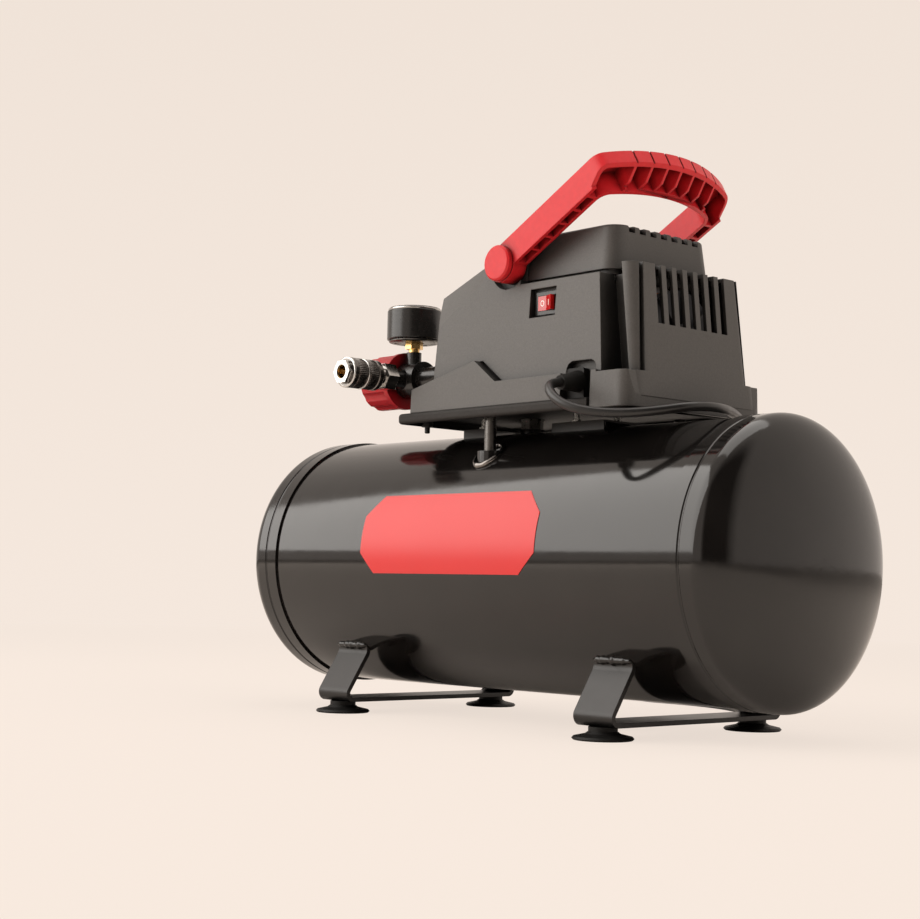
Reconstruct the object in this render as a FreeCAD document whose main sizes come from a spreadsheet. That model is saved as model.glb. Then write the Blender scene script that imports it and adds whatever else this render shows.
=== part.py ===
"""Portable oil-free air compressor, as a parametric FreeCAD document.

Millimetres. +X runs along the tank towards the motor end, +Y to the back and +Z up. The origin is on the
floor, under the middle of the tank.
"""
import FreeCAD, Part
import math
import operator
import os
import Sketcher
from types import SimpleNamespace

Vector = FreeCAD.Vector
Rotation = FreeCAD.Rotation

# The driving dimensions. Angles are in degrees.
SIZES = {
    # Tank
    "tank_radius": 89.4, "tank_height": 108.8, "shell_wall": 2.0, "shell_reach": 200.0,
    "head_wall": 1.35, "head_skirt": 20.2, "head_lap": 6.7, "dome_depth": 29.9, "weld_gap": 0.05,
    "crimp_back": 9.0, "crimp_radius": 1.4,
    "bung_radius": 8.5, "bung_bore": 4.1, "bung_rise": 2.0, "bung_depth": 12.0,
    "outlet_x": 3.0, "outlet_y": -55.0, "inlet_x": -12.5, "inlet_y": 0.0, "drain_x": 0.0, "drain_y": 38.0,
    # Front plate
    "plate_left": -89.5, "plate_right": 80.5, "plate_low": 98.5, "plate_high": 152.0, "plate_cut": 14.0,
    "plate_thick": 0.3,
    # Feet
    "foot_inset": 74.5, "foot_width": 32.0, "strap_thick": 3.0, "strap_low": 8.0, "strap_half": 87.0,
    "strap_top_half": 63.0, "strap_flange": 7.0, "strap_bend": 6.0,
    "rubber_y": 72.5, "rubber_radius": 19.1, "rubber_lip": 3.2, "rubber_neck": 9.0, "rubber_stem": 3.2,
    "rubber_bulb": 5.6, "rubber_bulb_tall": 3.2,
    # Drain valve
    "drain_hex": 6.5, "drain_hex_tall": 5.0, "drain_bore": 2.5, "drain_bar": 16.0, "drain_bar_thick": 4.0,
    # Saddle brackets on the tank
    "saddle_top": 2.8, "saddle_wall": 1.6, "saddle_half": 26.0,
    "saddle_right_low": 32.0, "saddle_right_high": 79.5, "saddle_left_low": -55.0, "saddle_left_high": -25.0,
    # Tray
    "tray_low": 4.8, "tray_top": 12.1, "tray_floor": 2.3, "tray_rim": 3.0, "tray_half": 69.0,
    "tray_left": -79.0, "tray_step_x": 104.0, "tray_right": 129.5, "tray_end_half": 63.5, "tray_round": 2.4,
    "tray_corner": 5.0,
    "bolt_radius": 2.0, "bolt_y": 20.0, "bolt_right": 49.5, "bolt_left": -40.0, "nut_radius": 3.8,
    "nut_tall": 2.4, "stud_x": -71.5, "stud_y": 46.0, "stud_radius": 1.9, "stud_head": 4.0,
    # Main shroud
    "wall": 2.5, "foot_half": 62.8, "top_half": 54.5, "foot_left": -50.9, "top_left": -46.6,
    "foot_right": 137.0, "top_right": 125.3, "cover_top": 125.8,
    "roof_left_x": -50.0, "roof_left_z": 91.3, "roof_knee_x": -6.0, "roof_knee_z": 110.6,
    "roof_top_x": 29.0, "seam_x": 31.0, "roof_z": 92.8, "end_top": 97.8,
    "end_round": 10.0, "edge_round": 2.0, "bevel_side": 15.0, "bevel_top": 2.5, "bevel_side_knee": 10.5, "bevel_top_knee": 4.0,
    "bevel_side_high": 14.6, "bevel_top_high": 7.2,
    "skirt_low": 5.0, "skirt_step_x": 105.0, "skirt_left": -65.7, "skirt_left_z": 28.3,
    "skirt_peak_x": -3.0, "skirt_peak_z": 43.8, "skirt_dip_x": 18.0, "skirt_dip_z": 28.3,
    "skirt_right": 136.0, "skirt_right_z": 29.3, "skirt_half": 67.6, "skirt_top_half": 65.8,
    "channel_low_z": 27.8, "channel_low_left": 109.5, "channel_low_right": 127.5, "channel_top_left": 101.0,
    "channel_top_right": 117.0, "channel_half": 42.0, "end_half": 56.0, "end_top_half": 53.8,
    "end_groove_half": 52.3, "end_groove_top_half": 47.5, "end_groove_width": 3.0, "end_groove_depth": 4.0,
    "slot_wide": 3.2, "slot_half": 57.5,
    "vent_count": 7, "vent_pitch": 10.4, "vent_width": 5.9, "vent_low": 59.8,
    "scoop_radius": 16.5, "scoop_half": 50.5,
    "boss_radius": 5.0, "boss_tall": 13.0, "boss_left": -42.0, "boss_right": 70.0, "boss_y": 60.8,
    "screw_radius": 1.9, "screw_head": 4.0, "screw_head_tall": 2.2,
    # Top cover
    "cover_half": 50.0, "cover_top_half": 46.0, "cover_right": 108.0, "cover_top_right": 106.0,
    "cover_corner": 12.0, "notch_depth": 4.5, "cover_foot_tall": 3.2, "cover_foot_inset": 3.0,
    # Switch
    "recess_left": 41.5, "recess_right": 65.0, "recess_low": 68.8, "recess_high": 88.0, "recess_y": 53.0,
    "bezel_x": 54.0, "bezel_z": 78.3, "bezel_half_x": 10.8, "bezel_half_z": 7.6, "bezel_lip": 1.6,
    "bezel_deep": 15.0, "bezel_wall": 2.6, "rocker_half": 7.2, "rocker_tall": 9.6, "rocker_edge": 4.2,
    "rocker_mid": 2.7, "rocker_back": 3.6, "rocker_pin": 1.2, "rocker_tilt": -12.0, "rocker_inset": 0.6,
    # Cord exit
    "port_left": 79.0, "port_right": 105.0, "port_high": 36.8, "port_y": 56.0, "port_round": 6.0,
    "relief_right": 94.0, "relief_tall": 20.0, "relief_y": 61.0,
    "boot_x": 89.0, "boot_y": 61.0, "boot_z": 23.5, "boot_long": 16.3, "boot_drop": 8.0,
    "boot_radius": 7.0, "boot_tip": 4.6, "cord_radius": 3.0,
    # Handle
    "pivot_x": 19.0, "pivot_z": 107.3, "handle_rest": 28.8, "arm_in": 52.0, "arm_out": 64.0,
    "arm_below": 7.1, "arm_above": 11.5, "hub_radius": 12.5, "cap_radius": 11.9, "arm_reach": 97.0, "grip_end": 109.0,
    "grip_bow": 10.0, "grip_wide": 21.5, "grip_thick": 16.4, "handle_corner": 9.0, "handle_wall": 2.8, "grip_lip": 8.7,
    "handle_round": 2.2, "rib_thick": 2.0, "rib_count": 7, "arm_rib_count": 5,
    "pin_radius": 5.0, "pin_cap": 4.4, "pin_reach": 44.0, "running_gap": 0.05,
    # Pump
    "shaft_z": 53.8, "shaft_radius": 5.0, "pump_x": 36.0, "bore_radius": 21.0, "bore_wall": 2.4,
    "fin_radius": 28.0, "fin_count": 6, "fin_thick": 1.6, "cylinder_low": 73.8, "cylinder_high": 100.8,
    "valve_thick": 3.0, "head_tall": 8.0, "head_radius": 29.0, "head_bolt_ring": 25.7, "head_bolt_count": 4,
    "head_bolt_radius": 2.0, "head_bolt_cap": 3.0, "throw": 8.0, "crank_pin_radius": 4.0,
    "rod_half": 5.0, "rod_eye": 10.0, "rod_wide": 5.0, "cup_thick": 3.0, "cup_gap": 0.3, "cup_below_top": 1.0,
    "eccentric_low": 43.0, "eccentric_high": 51.5, "eccentric_radius": 11.0, "weight_radius": 19.5,
    "frame_low": 53.0, "frame_high": 64.0, "frame_half": 18.0, "sole_half": 34.0, "sole_thick": 4.0, "bearing_radius": 11.0, "bearing_wide": 6.0,
    "filter_radius": 7.0, "filter_long": 15.0, "filter_x": 44.0,
    # Motor
    "stator_low": 72.0, "stator_high": 102.0, "stator_radius": 37.5, "stator_bore": 20.3, "winding_long": 6.5,
    "winding_radius": 32.0, "winding_bore": 22.0, "rotor_radius": 20.0, "bell_low": 112.0, "bell_high": 118.0,
    "tie_radius": 2.2, "tie_ring": 40.5, "fan_low": 119.5, "fan_high": 125.0, "fan_radius": 33.0,
    "fan_hub": 10.0, "blade_count": 8, "blade_thick": 1.6, "blade_hub_wide": 5.0,
    # Air path
    "manifold_left": -44.0, "manifold_right": -20.0, "manifold_front": -42.0, "manifold_back": -18.0,
    "manifold_low": 29.8, "manifold_high": 53.8, "pipe_radius": 4.0, "pipe_bore": 3.0,
    "switch_box_high": 76.8, "check_radius": 8.0, "check_low": 2.6, "check_high": 23.8,
    "tube_radius": 3.0,
    # Regulator
    "line_y": -30.0, "line_z": 41.5, "line_radius": 8.5, "body_left": -112.8, "body_right": -94.0,
    "body_radius": 13.0, "bonnet_radius": 13.0, "bonnet_long": 14.0, "knob_left": -143.5, "knob_right": -113.4,
    "knob_radius": 20.0, "knob_flange": 20.8, "knob_lobes": 10, "knob_lobe_depth": 1.4, "knob_wall": 2.6,
    "gauge_x": -106.3, "neck_radius": 5.5, "neck_high": 61.8, "gauge_hex": 6.5, "gauge_low": 70.8,
    "gauge_high": 92.2, "gauge_radius": 20.0, "gauge_wall": 1.6, "dial_z": 87.3, "dial_thick": 0.8,
    "lens_thick": 3.4, "lens_top": 94.4, "needle_long": 15.0, "needle_tail": 5.0, "needle_wide": 1.2,
    "needle_z": 89.0,
    "needle_thick": 0.8, "needle_rest": 225.0,
    "valve_x": -80.0, "valve_hex": 6.0, "valve_long": 16.0, "ring_radius": 7.0, "ring_wire": 1.0,
    "pull_radius": 1.5, "pull_travel": 3.0,
    # Quick coupler
    "coupler_x": -106.0, "coupler_neck": 7.2, "coupler_neck_end": -52.0, "coupler_hex": 10.4,
    "coupler_hex_end": -62.0, "coupler_tube": 8.0, "coupler_tip": -97.6, "coupler_bore": 5.0,
    "coupler_lip": 8.9, "coupler_lip_long": 3.4, "sleeve_front": -93.6, "sleeve_back": -66.4,
    "sleeve_radius": 10.2, "sleeve_band": 10.9,
    "sleeve_travel": 4.0,
    # Plug and coil
    "coil_x": -93.0, "coil_y": 265.0, "coil_mid": 33.0, "tie_width": 9.0, "tie_thick": 1.2, "tie_slack": 0.9,
    "plug_x": -53.0, "plug_long": 34.0, "plug_half": 12.5, "plug_pin": 16.0,
    "clearance": 0.3, "fit_gap": 0.05,
}

# These are heights above the highest point of the tank, so that all it carries moves with it.
ABOVE_TANK = [
    "saddle_top", "tray_low", "tray_top", "cover_top", "roof_left_z", "roof_knee_z", "roof_z", "end_top",
    "skirt_low", "skirt_left_z", "skirt_peak_z", "skirt_dip_z", "skirt_right_z", "channel_low_z",
    "vent_low", "recess_low", "recess_high", "bezel_z", "port_high", "boot_z", "pivot_z", "shaft_z",
    "cylinder_low", "cylinder_high", "manifold_low", "manifold_high", "switch_box_high", "check_low",
    "check_high", "line_z", "neck_high", "gauge_low", "gauge_high", "dial_z", "lens_top", "needle_z",
]

doc = FreeCAD.newDocument("air_compressor")
sheet = doc.addObject("Spreadsheet::Sheet", "Sizes")


class Size:
    """A number together with the formula on the sheet that gives it."""

    def __init__(self, value, text):
        self.value = value
        self.text = text

    def __add__(self, other):
        return combine(self, "+", other)

    def __radd__(self, other):
        return combine(other, "+", self)

    def __sub__(self, other):
        return combine(self, "-", other)

    def __rsub__(self, other):
        return combine(other, "-", self)

    def __mul__(self, other):
        return combine(self, "*", other)

    def __rmul__(self, other):
        return combine(other, "*", self)

    def __truediv__(self, other):
        return combine(self, "/", other)

    def __neg__(self):
        return combine(0, "-", self)


def as_size(number):
    """A plain number as a Size."""
    return number if isinstance(number, Size) else Size(number, f"({number})")


def combine(left, sign, right):
    """The Size that one sign of arithmetic makes of two."""
    left = as_size(left)
    right = as_size(right)
    work = {"+": operator.add, "-": operator.sub, "*": operator.mul, "/": operator.truediv}[sign]
    return Size(work(left.value, right.value), f"({left.text} {sign} {right.text})")


def root(size):
    """The square root of a Size."""
    return Size(math.sqrt(size.value), f"sqrt({size.text})")


def sine(angle):
    """The sine of a Size in degrees."""
    return Size(math.sin(math.radians(angle.value)), f"sin({angle.text})")


def cosine(angle):
    """The cosine of a Size in degrees."""
    return Size(math.cos(math.radians(angle.value)), f"cos({angle.text})")


def read_sizes():
    """Write the driving dimensions to the sheet and give each as a Size."""
    sizes = {}
    for row, (name, number) in enumerate(SIZES.items(), start=1):
        sheet.set(f"A{row}", str(number))
        sheet.setAlias(f"A{row}", name)
        sizes[name] = Size(number, f"Sizes.{name}")
    doc.recompute()
    for name in ABOVE_TANK:
        sizes[name] = sizes["tank_height"] + sizes["tank_radius"] + sizes[name]
    sizes["head_reach"] = sizes["shell_reach"] + sizes["head_lap"]
    sizes["foot_x"] = sizes["shell_reach"] - sizes["foot_inset"]
    return SimpleNamespace(**sizes)


s = read_sizes()
subparts = []


def keep(obj):
    """Note that an object is a sub-part of its own, and label it with its name."""
    obj.Label = obj.Name
    subparts.append(obj)
    return obj


def bind(obj, prop, size):
    """Bind a property to the sheet."""
    obj.setExpression(prop, as_size(size).text)


def place(obj, x, y, z):
    """Bind an object's place to the sheet."""
    for axis, size in zip("xyz", (x, y, z)):
        bind(obj, f"Placement.Base.{axis}", size)
    return obj


DIRECTIONS = {"x": Vector(1, 0, 0), "y": Vector(0, 1, 0), "z": Vector(0, 0, 1)}


def stand(obj, axis, across, along):
    """Stand an object made on Z along an axis: across holds its two other coordinates, in x, y, z order."""
    obj.Placement = FreeCAD.Placement(Vector(), Rotation(DIRECTIONS["z"], DIRECTIONS[axis]))
    first, second = across
    spots = {"x": (along, first, second), "y": (first, along, second), "z": (first, second, along)}
    return place(obj, *spots[axis])


def rod(name, axis, across, low, high, radius):
    """A cylinder."""
    obj = doc.addObject("Part::Cylinder", name)
    bind(obj, "Radius", radius)
    bind(obj, "Height", high - as_size(low))
    return stand(obj, axis, across, low)


def hexagon(name, axis, across, low, high, radius):
    """A hexagonal prism, its radius measured to the corners."""
    obj = doc.addObject("Part::Prism", name)
    obj.Polygon = 6
    bind(obj, "Circumradius", radius)
    bind(obj, "Height", high - as_size(low))
    return stand(obj, axis, across, low)


def taper(name, axis, across, low, high, low_radius, high_radius):
    """A cone."""
    obj = doc.addObject("Part::Cone", name)
    bind(obj, "Radius1", low_radius)
    bind(obj, "Radius2", high_radius)
    bind(obj, "Height", high - as_size(low))
    return stand(obj, axis, across, low)


def ring(name, axis, across, along, radius, wire):
    """A torus."""
    obj = doc.addObject("Part::Torus", name)
    bind(obj, "Radius1", radius)
    bind(obj, "Radius2", wire)
    return stand(obj, axis, across, along)


def block(name, x, y, z):
    """A box between three pairs of coordinates."""
    obj = doc.addObject("Part::Box", name)
    for prop, (low, high) in zip(("Length", "Width", "Height"), (x, y, z)):
        bind(obj, prop, high - as_size(low))
    return place(obj, x[0], y[0], z[0])


def drafted(name, z, foot_x, foot_half, top_x, top_half):
    """A block with sloping sides, even about Y = 0."""
    obj = doc.addObject("Part::Wedge", name)
    obj.Placement = FreeCAD.Placement(Vector(), Rotation(Vector(1, 0, 0), 90))
    values = {"Ymin": z[0], "Ymax": z[1], "Xmin": foot_x[0], "Xmax": foot_x[1], "X2min": top_x[0],
              "X2max": top_x[1], "Zmin": -as_size(foot_half), "Zmax": foot_half,
              "Z2min": -as_size(top_half), "Z2max": top_half}
    for prop, size in values.items():
        bind(obj, prop, size)
    return obj


def cut(name, base, *tools):
    """One object less others."""
    obj = doc.addObject("Part::Cut", name)
    obj.Base = base
    obj.Tool = tools[0] if len(tools) == 1 else join(f"{name}_tools", *tools)
    return obj


def join(name, *pieces):
    """Objects fused into one."""
    obj = doc.addObject("Part::MultiFuse", name)
    obj.Shapes = list(pieces)
    return obj


def overlap(name, *pieces):
    """What objects have in common."""
    obj = doc.addObject("Part::MultiCommon", name)
    obj.Shapes = list(pieces)
    return obj


def group(name, *pieces):
    """Separate solids kept as one object."""
    obj = doc.addObject("Part::Compound", name)
    obj.Links = list(pieces)
    return obj


def plane_of(body, role):
    """One of a body's own origin planes."""
    return next(feature for feature in body.Origin.OriginFeatures if feature.Role == role)


def outline(body, name, role, points):
    """A closed sketch of straight sides, each corner bound to the sheet."""
    sketch = body.newObject("Sketcher::SketchObject", name)
    sketch.AttachmentSupport = (plane_of(body, role), [""])
    sketch.MapMode = "FlatFace"
    points = [(as_size(across), as_size(up)) for across, up in points]
    ends = [Vector(across.value, up.value, 0) for across, up in points]
    for index, start in enumerate(ends):
        sketch.addGeometry(Part.LineSegment(start, ends[(index + 1) % len(ends)]), False)
    for index, (across, up) in enumerate(points):
        before = (index - 1) % len(points)
        sketch.addConstraint(Sketcher.Constraint("Coincident", before, 2, index, 1))
        for kind, size in (("DistanceX", across), ("DistanceY", up)):
            number = sketch.addConstraint(Sketcher.Constraint(kind, -1, 1, index, 1, size.value))
            sketch.setExpression(f"Constraints[{number}]", size.text)
    return sketch


def padded(name, axis, points, low, high):
    """A straight-sided outline, given across one axis, padded along it."""
    role = {"x": "YZ_Plane", "y": "XZ_Plane", "z": "XY_Plane"}[axis]
    body = doc.addObject("PartDesign::Body", name)
    pad = body.newObject("PartDesign::Pad", f"{name}_pad")
    pad.Profile = outline(body, f"{name}_outline", role, points)
    pad.Reversed = axis == "y"
    bind(pad, "Length", high - as_size(low))
    body.Tip = pad
    bind(body, f"Placement.Base.{axis}", low)
    return body


def turned(name, axis, across, along, points):
    """A body of revolution: points give radius and distance along its axis."""
    body = doc.addObject("PartDesign::Body", name)
    turn = body.newObject("PartDesign::Revolution", f"{name}_turn")
    sketch = outline(body, f"{name}_outline", "XZ_Plane", points)
    turn.Profile = sketch
    turn.ReferenceAxis = (sketch, ["V_Axis"])
    turn.Angle = 360
    body.Tip = turn
    return stand(body, axis, across, along)


def mirrored(name, source):
    """An object's image on the other side of Y = 0."""
    obj = doc.addObject("Part::Mirroring", name)
    obj.Source = source
    obj.Normal = Vector(0, 1, 0)
    return obj


def eased(name, base, radius, chosen):
    """The base with the edges that chosen picks rounded."""
    doc.recompute()
    obj = doc.addObject("Part::Fillet", name)
    obj.Base = base
    radius = as_size(radius).value
    obj.Edges = [(number, radius, radius) for number, edge in enumerate(base.Shape.Edges, start=1) if chosen(edge)]
    return obj


def shaped(name, shape):
    """An object whose shape is worked out in this script."""
    obj = doc.addObject("Part::Feature", name)
    obj.Shape = shape
    return obj


def middle(edge):
    """The middle of an edge's box."""
    return edge.BoundBox.Center


def runs(edge):
    """The direction of a straight edge, or a null vector for a curved one."""
    if not isinstance(edge.Curve, (Part.Line, Part.LineSegment)):
        return Vector()
    return (edge.Vertexes[-1].Point - edge.Vertexes[0].Point).normalize()


def tank_top(y):
    """The height of the tank's upper surface at a distance from its axis."""
    y = as_size(y)
    return s.tank_height + root(s.tank_radius * s.tank_radius - y * y)


def tank_bottom(y):
    """The height of the tank's lower surface at a distance from its axis."""
    y = as_size(y)
    return s.tank_height - root(s.tank_radius * s.tank_radius - y * y)


TANK_AXIS = (0, s.tank_height)


def tank():
    """The shell, its two heads, its bungs and the plate on its front."""
    outer = rod("shell_outer", "x", TANK_AXIS, -s.shell_reach, s.shell_reach, s.tank_radius)
    inner = rod("shell_inner", "x", TANK_AXIS, -s.shell_reach - 1, s.shell_reach + 1, s.tank_radius - s.shell_wall)
    hole = s.bung_radius + s.fit_gap
    holes = [
        rod("outlet_hole", "z", (s.outlet_x, s.outlet_y), s.tank_height, tank_top(0) + 1, hole),
        rod("inlet_hole", "z", (s.inlet_x, s.inlet_y), s.tank_height, tank_top(0) + 1, hole),
        rod("drain_hole", "z", (s.drain_x, s.drain_y), tank_bottom(0) - 1, s.tank_height, hole),
    ]
    keep(cut("tank_shell", outer, inner, *holes))
    for side, sign in (("left", -1), ("right", 1)):
        keep(tank_head(f"tank_head_{side}", sign))
    outlet_low = tank_top(s.outlet_y) - s.bung_depth
    inlet_low = tank_top(s.inlet_y) - s.bung_depth
    drain_high = tank_bottom(s.drain_y) + s.bung_depth
    keep(group(
        "tank_bungs",
        bung("outlet_bung", (s.outlet_x, s.outlet_y), outlet_low, outlet_top),
        bung("inlet_bung", (s.inlet_x, s.inlet_y), inlet_low, s.check_low),
        bung("drain_bung", (s.drain_x, s.drain_y), drain_low, drain_high),
    ))
    left, right, low, high, corner = s.plate_left, s.plate_right, s.plate_low, s.plate_high, s.plate_cut
    corners = [(left + corner, low), (right - corner, low), (right, low + corner), (right, high - corner),
               (right - corner, high), (left + corner, high), (left, high - corner), (left, low + corner)]
    reach = s.tank_radius + s.weld_gap
    skin = rod("plate_outer", "x", TANK_AXIS, left - 1, right + 1, reach + s.plate_thick)
    core = rod("plate_inner", "x", TANK_AXIS, left - 2, right + 2, reach)
    octagon = padded("plate_octagon", "y", corners, -s.tank_radius - 5, -s.tank_radius / 2)
    keep(cut("tank_decal", overlap("plate_skin", skin, octagon), core))


def bung(name, across, low, high):
    """A threaded boss welded into the shell."""
    return cut(name, rod(f"{name}_body", "z", across, low, high, s.bung_radius),
               rod(f"{name}_bore", "z", across, low - 1, high + 1, s.bung_bore))


def tank_head(name, sign):
    """A pressed head whose skirt slips over the shell and is crimped and welded there."""
    inner_radius = s.tank_radius + s.weld_gap
    outer_radius = inner_radius + s.head_wall
    shapes = []
    for layer, radius, depth in (("outer", outer_radius, s.dome_depth),
                                 ("inner", inner_radius, s.dome_depth - s.head_wall)):
        low, high = sorted((sign * (s.head_reach - s.head_skirt), sign * s.head_reach), key=lambda end: end.value)
        skirt = rod(f"{name}_{layer}_skirt", "x", TANK_AXIS, low, high, radius)
        dome = doc.addObject("Part::Ellipsoid", f"{name}_{layer}_dome")
        bind(dome, "Radius1", depth)
        bind(dome, "Radius2", radius)
        bind(dome, "Radius3", radius)
        dome.Angle1 = 0
        dome.Angle2 = 90
        dome.Placement = FreeCAD.Placement(Vector(), Rotation(Vector(0, 0, 1), Vector(sign, 0, 0)))
        place(dome, sign * s.head_reach, 0, s.tank_height)
        shapes.append(join(f"{name}_{layer}", skirt, dome))
    crimp = ring(f"{name}_crimp", "x", TANK_AXIS, sign * (s.head_reach - s.crimp_back),
                 outer_radius + s.crimp_radius / 2, s.crimp_radius)
    return cut(name, shapes[0], shapes[1], crimp)


def strip(points, bend, thick, low, high):
    """A strap bent along points across X, thick to the inner side of its path, from low to high along X."""
    path = rounded_path([Vector(low, y, z) for y, z in points], lambda run, turn: bend)
    face = Part.Wire(path).makeOffset2D(-thick, 0, True, True)
    return face.extrude(Vector(high - low, 0, 0))


def rounded_path(points, radius_of):
    """Straight runs through points, joined by arcs whose radius comes from the shorter run and the turn."""
    edges = []
    last = points[0]
    for before, corner, after in zip(points, points[1:], points[2:]):
        into = (before - corner).normalize()
        out = (after - corner).normalize()
        turn = math.pi - into.getAngle(out)
        run = min((before - corner).Length, (after - corner).Length)
        radius = radius_of(run, turn)
        back = radius * math.tan(turn / 2)
        start = corner + into * back
        finish = corner + out * back
        inward = (into + out).normalize()
        top = corner + inward * (radius / math.cos(turn / 2) - radius)
        edges.append(Part.LineSegment(last, start).toShape())
        edges.append(Part.Arc(start, top, finish).toShape())
        last = finish
    edges.append(Part.LineSegment(last, points[-1]).toShape())
    return edges


def tube(edges, radius, bore=0):
    """A round tube along edges, made span by span and fused."""
    spans = []
    for edge in edges:
        start = edge.valueAt(edge.FirstParameter)
        heading = edge.tangentAt(edge.FirstParameter)
        face = Part.Face(Part.Wire(Part.Circle(start, heading, radius).toShape()))
        if isinstance(edge.Curve, Part.Circle):
            curve = edge.Curve
            axis = (start - curve.Center).cross(heading)
            spans.append(face.revolve(curve.Center, axis, math.degrees(edge.Length / curve.Radius)))
        else:
            spans.append(face.extrude(heading * edge.Length))
    solid = spans[0].fuse(spans[1:]) if len(spans) > 1 else spans[0]
    return solid.cut(tube(edges, bore)) if bore else solid


def feet():
    """Two strap brackets under the tank and four push-in rubber feet."""
    bend = s.strap_bend.value
    low = s.strap_low.value
    half = s.strap_half.value
    top_half = s.strap_top_half.value
    skin = s.tank_radius.value + s.weld_gap.value
    height = s.tank_height.value
    rise = height - math.sqrt(skin ** 2 - top_half ** 2)
    tip_angle = math.atan2(top_half, height - rise) + s.strap_flange.value / skin
    tip = (skin * math.sin(tip_angle), height - skin * math.cos(tip_angle))
    front = [tip, (top_half, rise), (half, low)]
    points = [(-y, z) for y, z in front] + list(reversed(front))
    for side, sign in (("left", -1), ("right", 1)):
        start = sign * s.foot_x.value - s.foot_width.value / 2
        strap = strip(points, bend, s.strap_thick.value, start, start + s.foot_width.value)
        raw = shaped(f"strap_{side}", strap)
        x = sign * s.foot_x
        hole = s.rubber_stem + s.fit_gap
        holes = [rod(f"strap_{side}_hole_{end}", "z", (x, y), s.strap_low - 1,
                     s.strap_low + s.strap_thick + 1, hole) for end, y in (("front", -s.rubber_y), ("back", s.rubber_y))]
        round_tank = rod(f"strap_{side}_tank", "x", TANK_AXIS, x - s.foot_width, x + s.foot_width,
                         s.tank_radius + s.weld_gap)
        keep(cut(f"foot_bracket_{side}", raw, round_tank, *holes))
    grip_low = s.strap_low + s.strap_thick + s.fit_gap
    top = grip_low + s.rubber_bulb_tall
    under = s.strap_low - s.fit_gap
    profile = [(0, 0), (s.rubber_radius - 1, 0), (s.rubber_radius, 1), (s.rubber_radius - 1, s.rubber_lip - 1),
               (s.rubber_neck + 2, s.rubber_lip + 0.6), (s.rubber_neck, s.rubber_lip + 2), (s.rubber_neck, under),
               (s.rubber_stem, under), (s.rubber_stem, grip_low), (s.rubber_stem + 0.6, grip_low),
               (s.rubber_bulb, grip_low + 1.2), (s.rubber_bulb - 1.6, top), (0, top)]
    keep(group("rubber_feet", *[
        turned(f"rubber_foot_{number}", "z", (x, y), 0, profile)
        for number, (x, y) in enumerate((x, y) for x in (-s.foot_x, s.foot_x) for y in (-s.rubber_y, s.rubber_y))
    ]))


outlet_top = tank_top(s.outlet_y) + s.bung_rise
drain_low = tank_bottom(s.drain_y) - s.bung_rise


def drain():
    """The drain valve screwed into the lowest bung, with its turning bar."""
    across = (s.drain_x, s.drain_y)
    hex_low = drain_low - s.drain_hex_tall
    stem_high = drain_low + s.bung_depth / 2
    body = join("drain_body_solid",
                hexagon("drain_hexagon", "z", across, hex_low, drain_low, s.drain_hex),
                rod("drain_thread", "z", across, drain_low, stem_high, s.bung_bore - s.fit_gap))
    bore = rod("drain_seat", "z", across, hex_low - 1, drain_low + 2, s.drain_bore + s.running_gap)
    keep(cut("drain_valve_body", body, bore))
    bar_high = hex_low - s.clearance
    bar_low = bar_high - s.drain_bar_thick
    bar = eased("drain_bar", block("drain_bar_block", (s.drain_x - s.drain_bar / 2, s.drain_x + s.drain_bar / 2),
                (s.drain_y - 2, s.drain_y + 2), (bar_low, bar_high)), 1.2, lambda edge: abs(runs(edge).z) > 0.9)
    keep(join("drain_valve_key", bar, rod("drain_stem", "z", across, bar_low + 1, drain_low + 1.5, s.drain_bore)))


def saddles():
    """Two folded brackets welded to the top of the tank, which carry the tray."""
    room = rod("saddle_tank", "x", TANK_AXIS, -s.shell_reach, s.shell_reach, s.tank_radius + s.weld_gap)
    for side, low, high, bolt_x in (("left", s.saddle_left_low, s.saddle_left_high, s.bolt_left),
                                    ("right", s.saddle_right_low, s.saddle_right_high, s.bolt_right)):
        half = s.saddle_half
        outer = block(f"saddle_{side}_outer", (low, high), (-half, half), (tank_top(half), s.saddle_top))
        inner = block(f"saddle_{side}_inner", (low - 1, high + 1), (-half + s.saddle_wall, half - s.saddle_wall),
                      (tank_top(half) - 1, s.saddle_top - s.saddle_wall))
        holes = [rod(f"saddle_{side}_hole_{end}", "z", (bolt_x, y), s.saddle_top - s.saddle_wall - 1,
                     s.saddle_top + 1, s.bolt_radius + s.fit_gap) for end, y in (("front", -s.bolt_y), ("back", s.bolt_y))]
        keep(cut(f"saddle_bracket_{side}", outer, inner, room, *holes))


BOLTS = [(x, y) for x in (s.bolt_left, s.bolt_right) for y in (-s.bolt_y, s.bolt_y)]
STUDS = [(s.stud_x, -s.stud_y), (s.stud_x, s.stud_y)]
SCREWS = [(x, y) for x in (s.boss_left, s.boss_right) for y in (-s.boss_y, s.boss_y)]


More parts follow.
